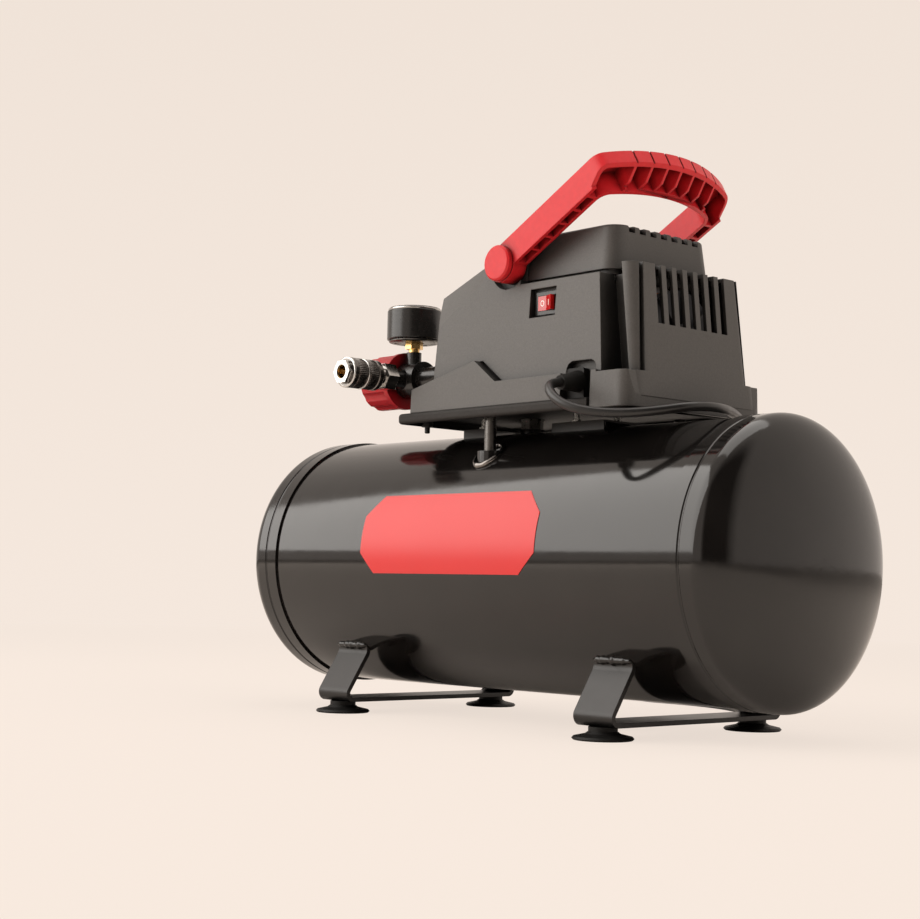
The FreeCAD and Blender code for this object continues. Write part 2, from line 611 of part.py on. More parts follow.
def tray():
    """The upturned pan that carries the pump and closes the shroud from below, with its bolts."""
    def pan(name, inset, low, high):
        return join(name,
                    block(f"{name}_main", (s.tray_left + inset, s.tray_step_x - inset),
                          (-s.tray_half + inset, s.tray_half - inset), (low, high)),
                    block(f"{name}_end", (s.tray_left + inset + 20, s.tray_right - inset),
                          (-s.tray_end_half + inset, s.tray_end_half - inset), (low, high)))

    solid = pan("tray_outer", 0, s.tray_low, s.tray_top)
    upright = eased("tray_upright", solid, s.tray_corner, lambda edge: abs(runs(edge).z) > 0.9 and (
        abs(middle(edge).x) > s.tray_step_x.value + 1 or middle(edge).x < s.tray_left.value + 1))
    limit = (s.tray_low.value, s.tray_top.value)
    soft = eased("tray_soft", upright, s.tray_round, lambda edge: any(
        abs(edge.BoundBox.ZMin - end) < 0.01 and abs(edge.BoundBox.ZMax - end) < 0.01 for end in limit))
    hollow = pan("tray_hollow", s.tray_rim, s.tray_low - 1, s.tray_top - s.tray_floor)
    floor = (s.tray_low, s.tray_top + 1)
    holes = [rod(f"tray_bolt_hole_{number}", "z", across, *floor, s.bolt_radius + s.fit_gap)
             for number, across in enumerate(BOLTS)]
    holes += [rod(f"tray_stud_hole_{number}", "z", across, *floor, s.stud_radius + s.fit_gap)
              for number, across in enumerate(STUDS)]
    holes += [rod(f"tray_screw_hole_{number}", "z", across, *floor, s.screw_radius + s.fit_gap)
              for number, across in enumerate(SCREWS)]
    holes.append(rod("tray_outlet_hole", "z", (s.outlet_x, s.outlet_y), *floor, s.pipe_radius + 1))
    holes.append(rod("tray_check_hole", "z", (s.inlet_x, s.inlet_y), *floor, s.check_radius + 1))
    keep(cut("base_tray", soft, hollow, *holes))
    floor_low = s.tray_top - s.tray_floor
    under = s.saddle_top - s.saddle_wall
    gap = s.fit_gap

    def bolt(name, across, seat):
        return turned(name, "z", across, 0, [
            (0, under - gap - s.nut_tall), (s.nut_radius, under - gap - s.nut_tall), (s.nut_radius, under - gap),
            (s.bolt_radius, under - gap), (s.bolt_radius, s.saddle_top + gap), (s.nut_radius, s.saddle_top + gap),
            (s.nut_radius, s.saddle_top + 1.5), (s.bolt_radius + 0.4, s.saddle_top + 1.5),
            (s.bolt_radius + 0.4, floor_low - gap), (s.bolt_radius, floor_low - gap), (s.bolt_radius, seat + gap),
            (s.nut_radius, seat + gap), (s.nut_radius, seat + s.nut_tall), (0, seat + s.nut_tall)])

    stud = [(0, s.tray_low - 5), (s.stud_radius - 0.4, s.tray_low - 5), (s.stud_radius, s.tray_low - 4.4),
            (s.stud_radius, s.tray_low - 0.6), (s.stud_head, s.tray_low - 0.6), (s.stud_head, floor_low - gap),
            (s.stud_radius, floor_low - gap), (s.stud_radius, s.tray_top), (0, s.tray_top)]
    bolts = [bolt(f"tray_bolt_{number}", across, s.tray_top + (s.sole_thick if number > 1 else 0))
             for number, across in enumerate(BOLTS)]
    keep(group("tray_bolts", *bolts))
    head_low = floor_low - gap - s.screw_head_tall
    screw = [(0, head_low), (s.screw_head - 0.6, head_low), (s.screw_head, head_low + 0.6),
             (s.screw_head, floor_low - gap), (s.screw_radius, floor_low - gap),
             (s.screw_radius, s.tray_top + s.boss_tall - 4), (0, s.tray_top + s.boss_tall - 3)]
    screws = [turned(f"cover_screw_{number}", "z", across, 0, screw) for number, across in enumerate(SCREWS)]
    screws += [turned(f"tray_stud_{number}", "z", across, 0, stud) for number, across in enumerate(STUDS)]
    keep(group("cover_screws", *screws))


def roof_outline(inset):
    """The shroud seen from the front, less an inset under the roofs."""
    slope_low = (s.roof_knee_z - s.roof_left_z) / (s.roof_knee_x - s.roof_left_x)
    left = s.roof_left_x - 15
    low = s.tray_top - 5
    step = s.cover_right + s.clearance + inset
    return [(left, low), (left, s.roof_left_z - 15 * slope_low - inset), (s.roof_knee_x, s.roof_knee_z - inset),
            (s.roof_top_x, s.cover_top - inset), (s.seam_x, s.cover_top - inset), (s.seam_x, s.roof_z - inset),
            (step, s.roof_z - inset), (step, s.end_top - inset),
            (s.foot_right + 5, s.end_top - inset), (s.foot_right + 5, low)]


def shroud_mass(name, inset):
    """The upper shroud as a solid, with bevelled roof edges and rounded corners."""
    z = (s.tray_top, s.cover_top + 2)
    walls = drafted(f"{name}_walls", z, (s.foot_left + inset, s.foot_right - inset), s.foot_half - inset,
                    (s.top_left + inset, s.top_right - inset), s.top_half - inset)
    doc.recompute()
    soft = eased(f"{name}_soft", walls, s.end_round - inset, lambda edge: abs(runs(edge).z) > 0.9 and
                 middle(edge).x > 0)
    corner = eased(f"{name}_corner", soft, s.edge_round, lambda edge: abs(runs(edge).z) > 0.9 and
                   middle(edge).x < 0)
    side = padded(f"{name}_side", "y", roof_outline(inset), -s.foot_half - 5, s.foot_half + 5)
    mass = overlap(f"{name}_plain", corner, side)
    return mass


def bevel_tool(name, inset):
    """The wedge that takes off the front edge of the sloping roofs."""
    def section(x, z, side, top):
        half = front_half(z) - inset
        lean = top.value / side.value
        return [Vector(x, -half - 3, z + 6), Vector(x, -half - 3, z - side.value - 3 / lean),
                Vector(x, -half, z - side.value), Vector(x, -half + top.value, z),
                Vector(x, -half + top.value + 6 * lean, z + 6)]

    slope = (s.roof_knee_z.value - s.roof_left_z.value) / (s.roof_knee_x.value - s.roof_left_x.value)
    stations = [(s.roof_left_x.value - 15, s.roof_left_z.value - 15 * slope, s.bevel_side, s.bevel_top),
                (s.roof_knee_x.value, s.roof_knee_z.value, s.bevel_side_knee, s.bevel_top_knee),
                (s.roof_top_x.value, s.cover_top.value, s.bevel_side_high, s.bevel_top_high),
                (s.seam_x.value + 1, s.cover_top.value, s.bevel_side_high, s.bevel_top_high)]
    solids = []
    for ends in zip(stations, stations[1:]):
        corners = [section(x, z - inset, side, top) for x, z, side, top in ends]
        solids.append(Part.makeLoft([Part.makePolygon(points + points[:1]) for points in corners], True, True))
    return shaped(name, solids[0].fuse(solids[1:]))


def front_half(z):
    """Half the depth of the upper shroud at a height."""
    share = (z - s.tray_top.value) / (s.cover_top.value + 2 - s.tray_top.value)
    return s.foot_half.value + share * (s.top_half.value - s.foot_half.value)


def pockets(name, grow, *standing):
    """What is sunk into the shroud, less what stands in it: scoops, channels, slots, switch recess and cord port."""
    deep = s.foot_half + 20
    scoops = [rod(f"{name}_scoop_{side}", "y", (s.pivot_x, s.pivot_z), low, high, s.scoop_radius + grow)
              for side, low, high in (("front", -deep, -s.scoop_half + grow), ("back", s.scoop_half - grow, deep))]
    low, high = s.channel_low_z, s.end_top + 10
    past = s.foot_right + 20
    channel = drafted(f"{name}_channel", (low - grow, high), (s.channel_low_left - grow, past), deep,
                      (s.channel_top_left - grow, past), deep)
    core = block(f"{name}_core", (s.channel_top_left - 20, past + 1), (-s.channel_half + grow, s.channel_half - grow),
                 (low - grow - 1, high + 1))
    slot = padded(f"{name}_slot_side", "y",
                  [(s.skirt_peak_x - grow, s.skirt_peak_z + grow), (s.skirt_dip_x - grow, s.skirt_dip_z - grow),
                   (s.skirt_dip_x + s.slot_wide + grow, s.skirt_dip_z - grow),
                   (s.skirt_peak_x + s.slot_wide + grow, s.skirt_peak_z + grow)], -deep, deep)
    slot_core = block(f"{name}_slot_core", (s.skirt_peak_x - 20, s.skirt_dip_x + 20),
                      (-s.slot_half + grow, s.slot_half - grow), (s.skirt_dip_z - 20, s.skirt_peak_z + 20))
    recess = block(f"{name}_recess", (s.recess_left - grow, s.recess_right + grow), (-deep, -s.recess_y + grow),
                   (s.recess_low - grow, s.recess_high + grow))
    port = block(f"{name}_port_block", (s.port_left - grow, s.port_right + grow), (-deep, -s.port_y + grow),
                 (s.skirt_low - 5, s.port_high + grow))
    port = eased(f"{name}_port", port, s.port_round + grow, lambda edge: abs(runs(edge).y) > 0.9 and
                 middle(edge).z > s.port_high.value - 2)
    return join(name, *scoops, cut(f"{name}_channels", channel, core, *standing),
                cut(f"{name}_slots", slot, slot_core), recess, port)


def end_body():
    """The end of the shroud beyond its channels, narrower than the rest, with its corners rounded."""
    low, high = s.channel_low_z, s.end_top + 10
    past = s.foot_right + 20
    walls = drafted("end_walls", (low, high), (s.channel_top_left - 20, foot_x_at(low)), s.end_half,
                    (s.channel_top_left - 20, foot_x_at(high)), s.end_top_half)
    soft = eased("end_soft", walls, s.end_round, lambda edge: abs(runs(edge).z) > 0.9 and
                 middle(edge).x > s.channel_low_right.value - 20)
    right = drafted("end_right", (low, high), (s.channel_low_right, past), s.foot_half + 20,
                    (s.channel_top_right, past), s.foot_half + 20)
    return overlap("end_body", soft, right)


def end_grooves():
    """The upright groove near each corner of the end."""
    low, high = s.channel_low_z, s.end_top + 10
    past = s.foot_right + 20
    depth = s.end_groove_depth
    wide = s.end_groove_width
    return cut("end_grooves",
               drafted("groove_outer", (low, high), (foot_x_at(low) - depth, past), s.end_groove_half,
                       (foot_x_at(high) - depth, past), s.end_groove_top_half),
               drafted("groove_inner", (low - 1, high + 1), (s.channel_top_left, past + 1), s.end_groove_half - wide,
                       (s.channel_top_left, past + 1), s.end_groove_top_half - wide))


def skirt_outline(inset, low):
    """The skirt seen from the front."""
    left = s.skirt_left + inset
    return [(left, low), (left, s.skirt_left_z - inset), (s.skirt_peak_x, s.skirt_peak_z - inset),
            (s.skirt_dip_x - inset / 2, s.skirt_dip_z - inset), (s.skirt_right - 6, s.skirt_right_z - inset),
            (s.skirt_right - 2 - inset, s.skirt_right_z - 2 - inset), (s.skirt_right + 0.6 - inset, low)]


def skirt_mass(name, inset, drop):
    """The skirt as a solid, its right end reaching lower than the rest."""
    high = s.skirt_peak_z + 5
    end = s.skirt_right + 0.7 - inset
    walls = eased(f"{name}_walls", drafted(f"{name}_box", (s.skirt_low - drop, high), (s.skirt_left - 5, end),
                                           s.skirt_half - inset, (s.skirt_left - 5, end), s.skirt_top_half - inset),
                  s.end_round - inset, lambda edge: abs(runs(edge).z) > 0.9 and middle(edge).x > 0)
    side = padded(f"{name}_side", "y", skirt_outline(inset, s.tray_top - drop), -s.skirt_half - 1, s.skirt_half + 1)
    step = block(f"{name}_step", (s.skirt_step_x + inset, s.skirt_right + 0.7 - inset),
                 (-s.skirt_half, s.skirt_half), (s.skirt_low - drop, s.tray_top + 1))
    return overlap(name, walls, join(f"{name}_face", side, step))


def shroud():
    """The main cover: one moulding open below and under the top cover."""
    outer = cut("shroud_outer", shroud_mass("shroud_mass", 0), bevel_tool("shroud_bevel", 0),
                mirrored("shroud_bevel_back", doc.getObject("shroud_bevel")))
    inner = cut("shroud_inner", shroud_mass("shroud_void", s.wall), bevel_tool("void_bevel", s.wall.value),
                mirrored("void_bevel_back", doc.getObject("void_bevel")))
    skirt = skirt_mass("skirt", 0, 0)
    skirt_void = skirt_mass("skirt_void", s.wall, 1)
    walls = pockets("pocket_walls", s.wall)
    void = cut("shroud_void_open", join("shroud_voids", inner, skirt_void), walls)
    first = -(s.vent_count - 1) / 2 * s.vent_pitch
    vents = []
    for number in range(int(s.vent_count.value)):
        y = first + number * s.vent_pitch
        vents.append(block(f"vent_{number}", (s.top_right - 2.2, s.foot_right + 5),
                           (y - s.vent_width / 2, y + s.vent_width / 2), (s.vent_low, s.end_top + 1)))
    bosses = [rod(f"boss_{number}", "z", across, s.tray_top, s.tray_top + s.boss_tall, s.boss_radius)
              for number, across in enumerate(SCREWS)]
    bores = [rod(f"boss_bore_{number}", "z", across, s.tray_top - 1, s.tray_top + s.boss_tall - 2,
                 s.screw_radius + s.fit_gap) for number, across in enumerate(SCREWS)]
    pivots = [rod(f"pivot_boss_{side}", "y", (s.pivot_x, s.pivot_z), low, high, s.pin_radius + s.wall + 1)
              for side, low, high in (("front", -s.scoop_half, -s.pin_reach), ("back", s.pin_reach, s.scoop_half))]
    pin_bore = rod("pivot_bore", "y", (s.pivot_x, s.pivot_z), -s.foot_half, s.foot_half, s.pin_radius + s.fit_gap)
    opening = block("cover_opening", (s.seam_x - 1, s.cover_top_right - s.wall - s.clearance),
                    (-s.cover_top_half + s.wall, s.cover_top_half - s.wall), (s.roof_z - s.wall - 2, s.cover_top - s.wall))
    line_hole = rod("line_hole", "x", (s.line_y, s.line_z), s.foot_left - 5, s.foot_left + 15,
                    s.line_radius + s.clearance)
    switch_hole = block("switch_hole", (s.bezel_x - s.bezel_half_x + s.bezel_lip, s.bezel_x + s.bezel_half_x - s.bezel_lip),
                        (-s.recess_y - 1, -s.recess_y + 6),
                        (s.bezel_z - s.bezel_half_z + s.bezel_lip, s.bezel_z + s.bezel_half_z - s.bezel_lip))
    cord_hole = rod("cord_hole", "y", (s.boot_x, s.boot_z), -s.port_y - 2, -s.port_y + 6, s.cord_radius + 1.5)
    tray_room = block("tray_room", (s.tray_left, s.tray_right + s.clearance),
                      (-s.tray_end_half - s.clearance, s.tray_end_half + s.clearance), (s.skirt_low - 2, s.tray_top))
    shell = cut("shroud_shell", join("shroud_solid", outer, skirt), pockets("shroud_pockets", 0, end_body()), void,
                tray_room)
    whole = join("shroud_whole", shell, *bosses, *pivots)
    keep(cut("main_shroud", whole, end_grooves(), *vents, *bores, pin_bore, opening, line_hole, switch_hole, cord_hole))


def foot_x_at(z):
    """How far right the end wall stands at a height."""
    share = (z - s.tray_top) / (s.cover_top + 2 - s.tray_top)
    return s.foot_right + share * (s.top_right - s.foot_right)


def top_cover():
    """The cover over the cylinder head: a drafted box with round corners and notches along its end."""
    def mass(name, inset):
        low = s.roof_z + s.fit_gap - (1 if inset else 0)
        step = s.roof_z + s.cover_foot_tall + inset
        foot = s.cover_foot_inset + inset
        walls = drafted(f"{name}_walls", (step, s.cover_top - inset),
                        (s.seam_x - 20, s.cover_right - inset), s.cover_half - inset,
                        (s.seam_x - 20, s.cover_top_right - inset), s.cover_top_half - inset)
        round_walls = eased(f"{name}_round", walls, s.cover_corner - inset,
                            lambda edge: abs(runs(edge).z) > 0.9 and middle(edge).x > 0)
        seat = block(f"{name}_seat", (s.seam_x - 20, s.cover_right - foot), (-s.cover_half + foot, s.cover_half - foot),
                     (low, step + 1))
        return join(name, round_walls, eased(f"{name}_foot", seat, s.cover_corner - foot,
                                             lambda edge: abs(runs(edge).z) > 0.9 and middle(edge).x > 60))

    outer = mass("cover_mass", 0)
    top = s.cover_top.value
    soft = eased("cover_soft", outer, s.edge_round, lambda edge: edge.BoundBox.ZMin > top - 0.01)
    inner = mass("cover_void", s.wall)
    trim = block("cover_trim", (s.seam_x - 30, s.seam_x + s.fit_gap), (-s.cover_half - 5, s.cover_half + 5),
                 (s.roof_z - 5, s.cover_top + 5))
    first = -(s.vent_count - 1) / 2 * s.vent_pitch
    notches = []
    for number in range(int(s.vent_count.value)):
        y = first + number * s.vent_pitch
        notches.append(block(f"notch_{number}", (s.cover_top_right - s.notch_depth, s.cover_right + 1),
                             (y - s.vent_width / 2, y + s.vent_width / 2),
                             (s.cover_top - s.notch_depth, s.cover_top + 1)))
    keep(cut("top_cover", soft, inner, trim, *notches))


def power_switch():
    """A rocker switch that rocks from side to side in its bezel."""
    x, z = s.bezel_x, s.bezel_z
    half_x, half_z = s.bezel_half_x, s.bezel_half_z
    back = -s.recess_y
    flange = eased("bezel_flange", block("bezel_flange_block", (x - half_x, x + half_x),
                   (back - s.bezel_lip - s.fit_gap, back - s.fit_gap), (z - half_z, z + half_z)), 0.8,
                   lambda edge: abs(runs(edge).y) > 0.9)
    inset = s.bezel_lip + s.fit_gap
    case = block("bezel_case", (x - half_x + inset, x + half_x - inset), (back - s.bezel_lip, back + s.bezel_deep),
                 (z - half_z + inset, z + half_z - inset))
    room = s.bezel_wall
    well = block("bezel_well", (x - half_x + room, x + half_x - room), (back - 5, back + s.bezel_deep / 2),
                 (z - half_z + room, z + half_z - room))
    pivot_y = back + s.rocker_inset
    socket = rod("bezel_socket", "z", (x, pivot_y), z - half_z + s.bezel_lip + 0.4, z + half_z - s.bezel_lip - 0.4,
                 s.rocker_pin + s.running_gap)
    keep(cut("switch_bezel", join("bezel_solid", flange, case), well, socket))
    half, tall = s.rocker_half, s.rocker_tall / 2
    points = [(-half, -1.5), (-half, -s.rocker_edge), (0, -s.rocker_mid), (half, -s.rocker_edge), (half, -1.5)]
    front = [(0 - across, up) for across, up in points]
    face = [(half / 2, s.rocker_back), (-half / 2, s.rocker_back)]
    body = padded("rocker_body", "z", list(reversed(front)) + face, -tall, tall)
    pin = rod("rocker_pin_rod", "z", (0, 0), -half_z + s.bezel_lip + 0.6, half_z - s.bezel_lip - 0.6, s.rocker_pin)
    rocker = keep(join("switch_rocker", body, pin))
    rocker.Placement = FreeCAD.Placement(Vector(), Rotation(Vector(0, 0, 1), 0))
    place(rocker, x, pivot_y, z)
    bind(rocker, "Placement.Rotation.Angle", s.rocker_tilt)


def cord_exit():
    """The block in the port and the boot that guards the cord."""
    low = s.tray_top + s.fit_gap
    body = block("relief_block", (s.port_left + s.fit_gap, s.relief_right), (-s.relief_y, -s.port_y - s.fit_gap),
                 (low, low + s.relief_tall))
    soft = eased("relief_soft", body, 2.0, lambda edge: abs(runs(edge).y) > 0.9 and middle(edge).z > low.value + 1)
    boot = taper("relief_boot", "z", (0, 0), 0, s.boot_long, s.boot_radius, s.boot_tip)
    boot.Placement = FreeCAD.Placement(Vector(), boot_turn())
    place(boot, s.boot_x, -s.boot_y, s.boot_z)
    keep(join("strain_relief", soft, boot))


def boot_turn():
    """How the boot is turned: outwards and a little down."""
    drop = math.radians(s.boot_drop.value)
    return Rotation(Vector(0, 0, 1), Vector(0, -math.cos(drop), -math.sin(drop)))


def on_circle(name, count, radius, make):
    """Copies of a piece on a circle: make gives one at a pair of offsets."""
    pieces = []
    for number in range(int(count.value)):
        angle = Size(360 * number / count.value + 45, f"(360 * {number} / {count.text} + 45)")
        pieces.append(make(f"{name}_{number}", radius * cosine(angle), radius * sine(angle)))
    return pieces


def handle():
    """The folding carry handle, a ribbed channel open underneath, and the pins it turns on."""
    v = {name: getattr(s, name).value for name in SIZES}
    sag = v["grip_bow"]
    bow = (v["arm_in"] ** 2 + sag ** 2) / (2 * sag)
    outer_end = v["grip_end"] + sag
    inner_end = outer_end - v["grip_wide"]
    deep = v["arm_above"] + v["hub_radius"] + 2

    def bowed(half, end, low, high):
        back = end - bow
        edge = math.sqrt(bow ** 2 - half ** 2)
        far = (back + edge, half)
        start = -v["hub_radius"] - 1
        arc = Part.Arc(Vector(far[0], -half, low), Vector(back + bow, 0, low), Vector(far[0], half, low)).toShape()
        sides = Part.makePolygon([Vector(far[0], half, low), Vector(start, half, low), Vector(start, -half, low),
                                  Vector(far[0], -half, low)])
        solid = Part.Face(Part.Wire([arc] + sides.Edges)).extrude(Vector(0, 0, high - low))
        return solid

    def round_corners(solid, radius):
        edges = [edge for edge in solid.Edges if abs(runs(edge).z) > 0.9 and middle(edge).x > 20]
        return solid.makeFillet(radius, edges)

    top = v["arm_above"]
    outer = round_corners(bowed(v["arm_out"], outer_end, top - deep, top), v["handle_corner"])
    gap = round_corners(bowed(v["arm_in"], inner_end, top - deep - 1, top + 1), v["handle_corner"])
    hub_cut = Part.makeBox(60, 2 * v["arm_in"], 2 * deep, Vector(-60, -v["arm_in"], -deep))
    plan = outer.cut(gap).cut(hub_cut)
    wide = 2 * v["arm_out"] + 2
    hub = Part.makeCylinder(v["hub_radius"], wide, Vector(0, -wide / 2, 0), Vector(0, 1, 0))
    arms = Part.makeBox(inner_end, wide, v["arm_below"] + top, Vector(0, -wide / 2, -v["arm_below"]))
    reach_past = v["grip_wide"] + v["arm_above"]
    grip = Part.makeBox(2 * reach_past, wide, v["grip_thick"],
                        Vector(inner_end - v["arm_above"], -wide / 2, top - v["grip_thick"]))
    side = hub.fuse([arms, grip])
    solid = plan.common(side).removeSplitter()
    wall = v["handle_wall"]
    core_outer = round_corners(bowed(v["arm_out"] - wall, outer_end - wall, top - deep, top - wall),
                               v["handle_corner"] - wall)
    core_gap = round_corners(bowed(v["arm_in"] + wall, inner_end + wall, top - deep - 1, top + 1),
                             v["handle_corner"] + wall)
    core = core_outer.cut(core_gap)
    core = core.cut(Part.makeCylinder(v["hub_radius"] + 2, wide, Vector(0, -wide / 2, 0), Vector(0, 1, 0)))
    core = core.cut(Part.makeBox(40, wide, 2 * deep, Vector(-40, -wide / 2, -deep)))
    ribs = []
    thick = v["rib_thick"]
    count = int(v["rib_count"])
    reach = 2 * v["arm_in"] / (count + 1)
    for number in range(count):
        y = (number - (count - 1) / 2) * reach
        ribs.append(Part.makeBox(60, thick, 2 * deep, Vector(inner_end - 15, y - thick / 2, -deep)))
    arm_count = int(v["arm_rib_count"])
    for number in range(1, arm_count + 1):
        u = v["hub_radius"] + number * (inner_end - v["hub_radius"]) / (arm_count + 1)
        ribs.append(Part.makeBox(thick, wide, 2 * deep, Vector(u - thick / 2, -wide / 2, -deep)))
    lip = v["handle_wall"] + v["grip_lip"]
    axis_u = outer_end - bow
    far_down = -3 * deep
    under = Part.Face(Part.makePolygon([
        Vector(axis_u + bow + 1, 0, top - v["grip_lip"]), Vector(axis_u + bow - lip, 0, top - v["grip_thick"]),
        Vector(axis_u + bow - lip, 0, far_down), Vector(axis_u + bow + 1, 0, far_down),
        Vector(axis_u + bow + 1, 0, top - v["grip_lip"])]))
    under = under.revolve(Vector(axis_u, 0, 0), Vector(0, 0, 1), 360)
    solid = solid.cut(core.cut(ribs)).cut(under)
    grooves = []
    for number in range(count):
        y = (number - (count - 1) / 2) * reach
        x = outer_end - bow + math.sqrt(bow ** 2 - y ** 2)
        grooves.append(Part.makeBox(5, 1.4, 2 * deep, Vector(x - 0.7, y - 0.7, -deep)))
    bore = Part.makeCylinder(v["pin_radius"] + v["running_gap"], wide, Vector(0, -wide / 2, 0), Vector(0, 1, 0))
    solid = solid.cut(grooves + [bore])
    obj = keep(shaped("handle", solid))
    obj.Placement = FreeCAD.Placement(Vector(), Rotation(Vector(0, 1, 0), 0))
    place(obj, s.pivot_x, 0, s.pivot_z)
    bind(obj, "Placement.Rotation.Angle", -s.handle_rest)
    face = s.arm_out + s.clearance
    profile = [(0, s.pin_reach + 0.5), (s.pin_radius, s.pin_reach + 0.5), (s.pin_radius, face),
               (s.cap_radius, face), (s.cap_radius, face + s.pin_cap - 1.2), (s.cap_radius - 1.2, face + s.pin_cap),
               (0, face + s.pin_cap)]
    pins = [turned("pivot_pin_back", "y", (s.pivot_x, s.pivot_z), 0, profile)]
    front = turned("pivot_pin_front", "y", (s.pivot_x, s.pivot_z), 0, profile)
    front.Placement = FreeCAD.Placement(Vector(), Rotation(Vector(0, 0, 1), Vector(0, -1, 0)))
    place(front, s.pivot_x, 0, s.pivot_z)
    keep(group("handle_pivots", *pins, front))


def pump():
    """The frame, cylinder and wobble piston."""
    axis = (0, s.shaft_z)
    shelf_low = s.cylinder_low - 5
    centre = (s.pump_x, 0)
    plate = block("frame_plate", (s.frame_low, s.frame_high), (-s.frame_half, s.frame_half),
                  (s.tray_top + s.fit_gap, s.cylinder_low))
    shelf = block("frame_shelf", (s.pump_x - s.head_radius, s.frame_high), (-s.head_radius, s.head_radius),
                  (shelf_low, s.cylinder_low))
    sole = block("frame_sole", (s.frame_low - 14, s.frame_high + 5), (-s.sole_half, s.sole_half),
                 (s.tray_top + s.fit_gap, s.tray_top + s.sole_thick))
    sole_holes = [rod(f"sole_hole_{number}", "z", across, s.tray_top - 1, s.tray_top + s.sole_thick + 1,
                      s.bolt_radius + s.fit_gap) for number, across in enumerate(BOLTS[2:])]
    bearing_hole = rod("frame_bearing_hole", "x", axis, s.frame_low - 1, s.frame_high + 1,
                       s.bearing_radius + s.fit_gap)
    rod_hole = rod("frame_rod_hole", "z", centre, shelf_low - 1, s.cylinder_low + 1, s.bore_radius)
    bolt_gap = s.head_bolt_radius + s.fit_gap

    def bolt_holes(name, low, high):
        return on_circle(name, s.head_bolt_count, s.head_bolt_ring,
                         lambda label, x, y: rod(label, "z", (s.pump_x + x, y), low, high, bolt_gap))

    keep(cut("pump_frame", join("frame_solid", plate, shelf, sole), bearing_hole, rod_hole, *sole_holes,
             *bolt_holes("frame_bolt_hole", shelf_low - 1, s.cylinder_low + 1)))
    low = s.cylinder_low + s.fit_gap
    tube_wall = rod("cylinder_wall", "z", centre, low, s.cylinder_high, s.bore_radius + s.bore_wall)
    pitch = (s.cylinder_high - low - s.fin_thick) / (s.fin_count - 1)
    fins = [rod(f"fin_{number}", "z", centre, low + number * pitch, low + number * pitch + s.fin_thick, s.fin_radius)
            for number in range(int(s.fin_count.value))]
    bore = rod("cylinder_bore", "z", centre, low - 1, s.cylinder_high + 1, s.bore_radius)
    keep(cut("cylinder", join("cylinder_solid", tube_wall, *fins), bore,
             *bolt_holes("cylinder_bolt_hole", low - 1, s.cylinder_high + 1)))
    plate_low = s.cylinder_high + s.fit_gap
    plate_high = plate_low + s.valve_thick
    keep(cut("valve_plate", rod("valve_disc", "z", centre, plate_low, plate_high, s.head_radius),
             rod("valve_port_in", "z", (s.pump_x + 8, 0), plate_low - 1, plate_high + 1, 2.5),
             rod("valve_port_out", "z", (s.pump_x - 8, 0), plate_low - 1, plate_high + 1, 2.5),
             *bolt_holes("valve_bolt_hole", plate_low - 1, plate_high + 1)))
    head_low = plate_high + s.fit_gap
    head_high = head_low + s.head_tall
    slots = [block(f"head_slot_{number}", (s.pump_x - s.head_radius - 1, s.pump_x + s.head_radius + 1),
                   (offset - 1.5, offset + 1.5), (head_high - s.head_tall / 2, head_high + 1))
             for number, offset in enumerate((-12, -6, 0, 6, 12))]
    keep(cut("cylinder_head", rod("head_disc", "z", centre, head_low, head_high, s.head_radius), *slots,
             *bolt_holes("head_bolt_hole", head_low - 1, head_high + 1)))
    bolt_profile = [(0, shelf_low), (s.head_bolt_radius, shelf_low), (s.head_bolt_radius, head_high + s.fit_gap),
                    (s.head_bolt_radius + 1.4, head_high + s.fit_gap),
                    (s.head_bolt_radius + 1.4, head_high + s.head_bolt_cap), (0, head_high + s.head_bolt_cap)]
    keep(group("head_bolts", *on_circle(
        "head_bolt", s.head_bolt_count, s.head_bolt_ring,
        lambda label, x, y: turned(label, "z", (s.pump_x + x, y), 0, bolt_profile))))
    filter_z = head_low + s.head_tall / 2
    reach = -root(s.head_radius * s.head_radius - (s.filter_x - s.pump_x) * (s.filter_x - s.pump_x))
    start = reach - s.filter_long
    keep(cut("intake_filter",
             join("filter_solid", rod("filter_can", "y", (s.filter_x, filter_z), start, start + s.filter_long - 6,
                                      s.filter_radius),
                  rod("filter_neck", "y", (s.filter_x, filter_z), start + 5, reach + 2, 3)),
             rod("filter_bore", "y", (s.filter_x, filter_z), start - 1, start + 8, s.filter_radius - 1.5),
             rod("filter_head", "z", centre, head_low - 9, head_high + 9, s.head_radius + s.fit_gap)))
    piston()


def piston():
    """The wobble rod with its cup, bearing and crank pin, at the top of the stroke."""
    centre = (s.pump_x, 0)
    top = s.cylinder_high - s.cup_below_top
    disc_high = top - s.cup_thick - s.fit_gap
    pin = (0, s.shaft_z + s.throw)
    low, high = s.pump_x - s.rod_half, s.pump_x + s.rod_half
    solid = join("rod_solid",
                 rod("rod_disc", "z", centre, disc_high - 3, disc_high, s.bore_radius - 1.5),
                 block("rod_stem", (low, high), (-s.rod_wide, s.rod_wide), (s.shaft_z + s.throw, disc_high - 1)),
                 rod("rod_eye_disc", "x", pin, low, high, s.rod_eye),
                 rod("rod_stud", "z", centre, disc_high - 1, top - 0.5, 4))
    bearing_outer = s.rod_eye - 2
    keep(cut("piston_rod", solid, rod("rod_eye_bore", "x", pin, low - 1, high + 1, bearing_outer + s.fit_gap)))
    keep(cut("piston_cup", rod("cup_disc", "z", centre, disc_high + s.fit_gap, top, s.bore_radius - s.cup_gap),
             rod("cup_hole", "z", centre, disc_high - 1, top + 1, 4 + s.fit_gap)))
    keep(cut("rod_bearing", rod("rod_bearing_outer", "x", pin, low + 0.5, high - 0.5, bearing_outer),
             rod("rod_bearing_inner", "x", pin, low - 1, high + 1, s.crank_pin_radius + s.fit_gap)))
    keep(rod("crank_pin", "x", pin, low, s.eccentric_low - 0.4, s.crank_pin_radius))


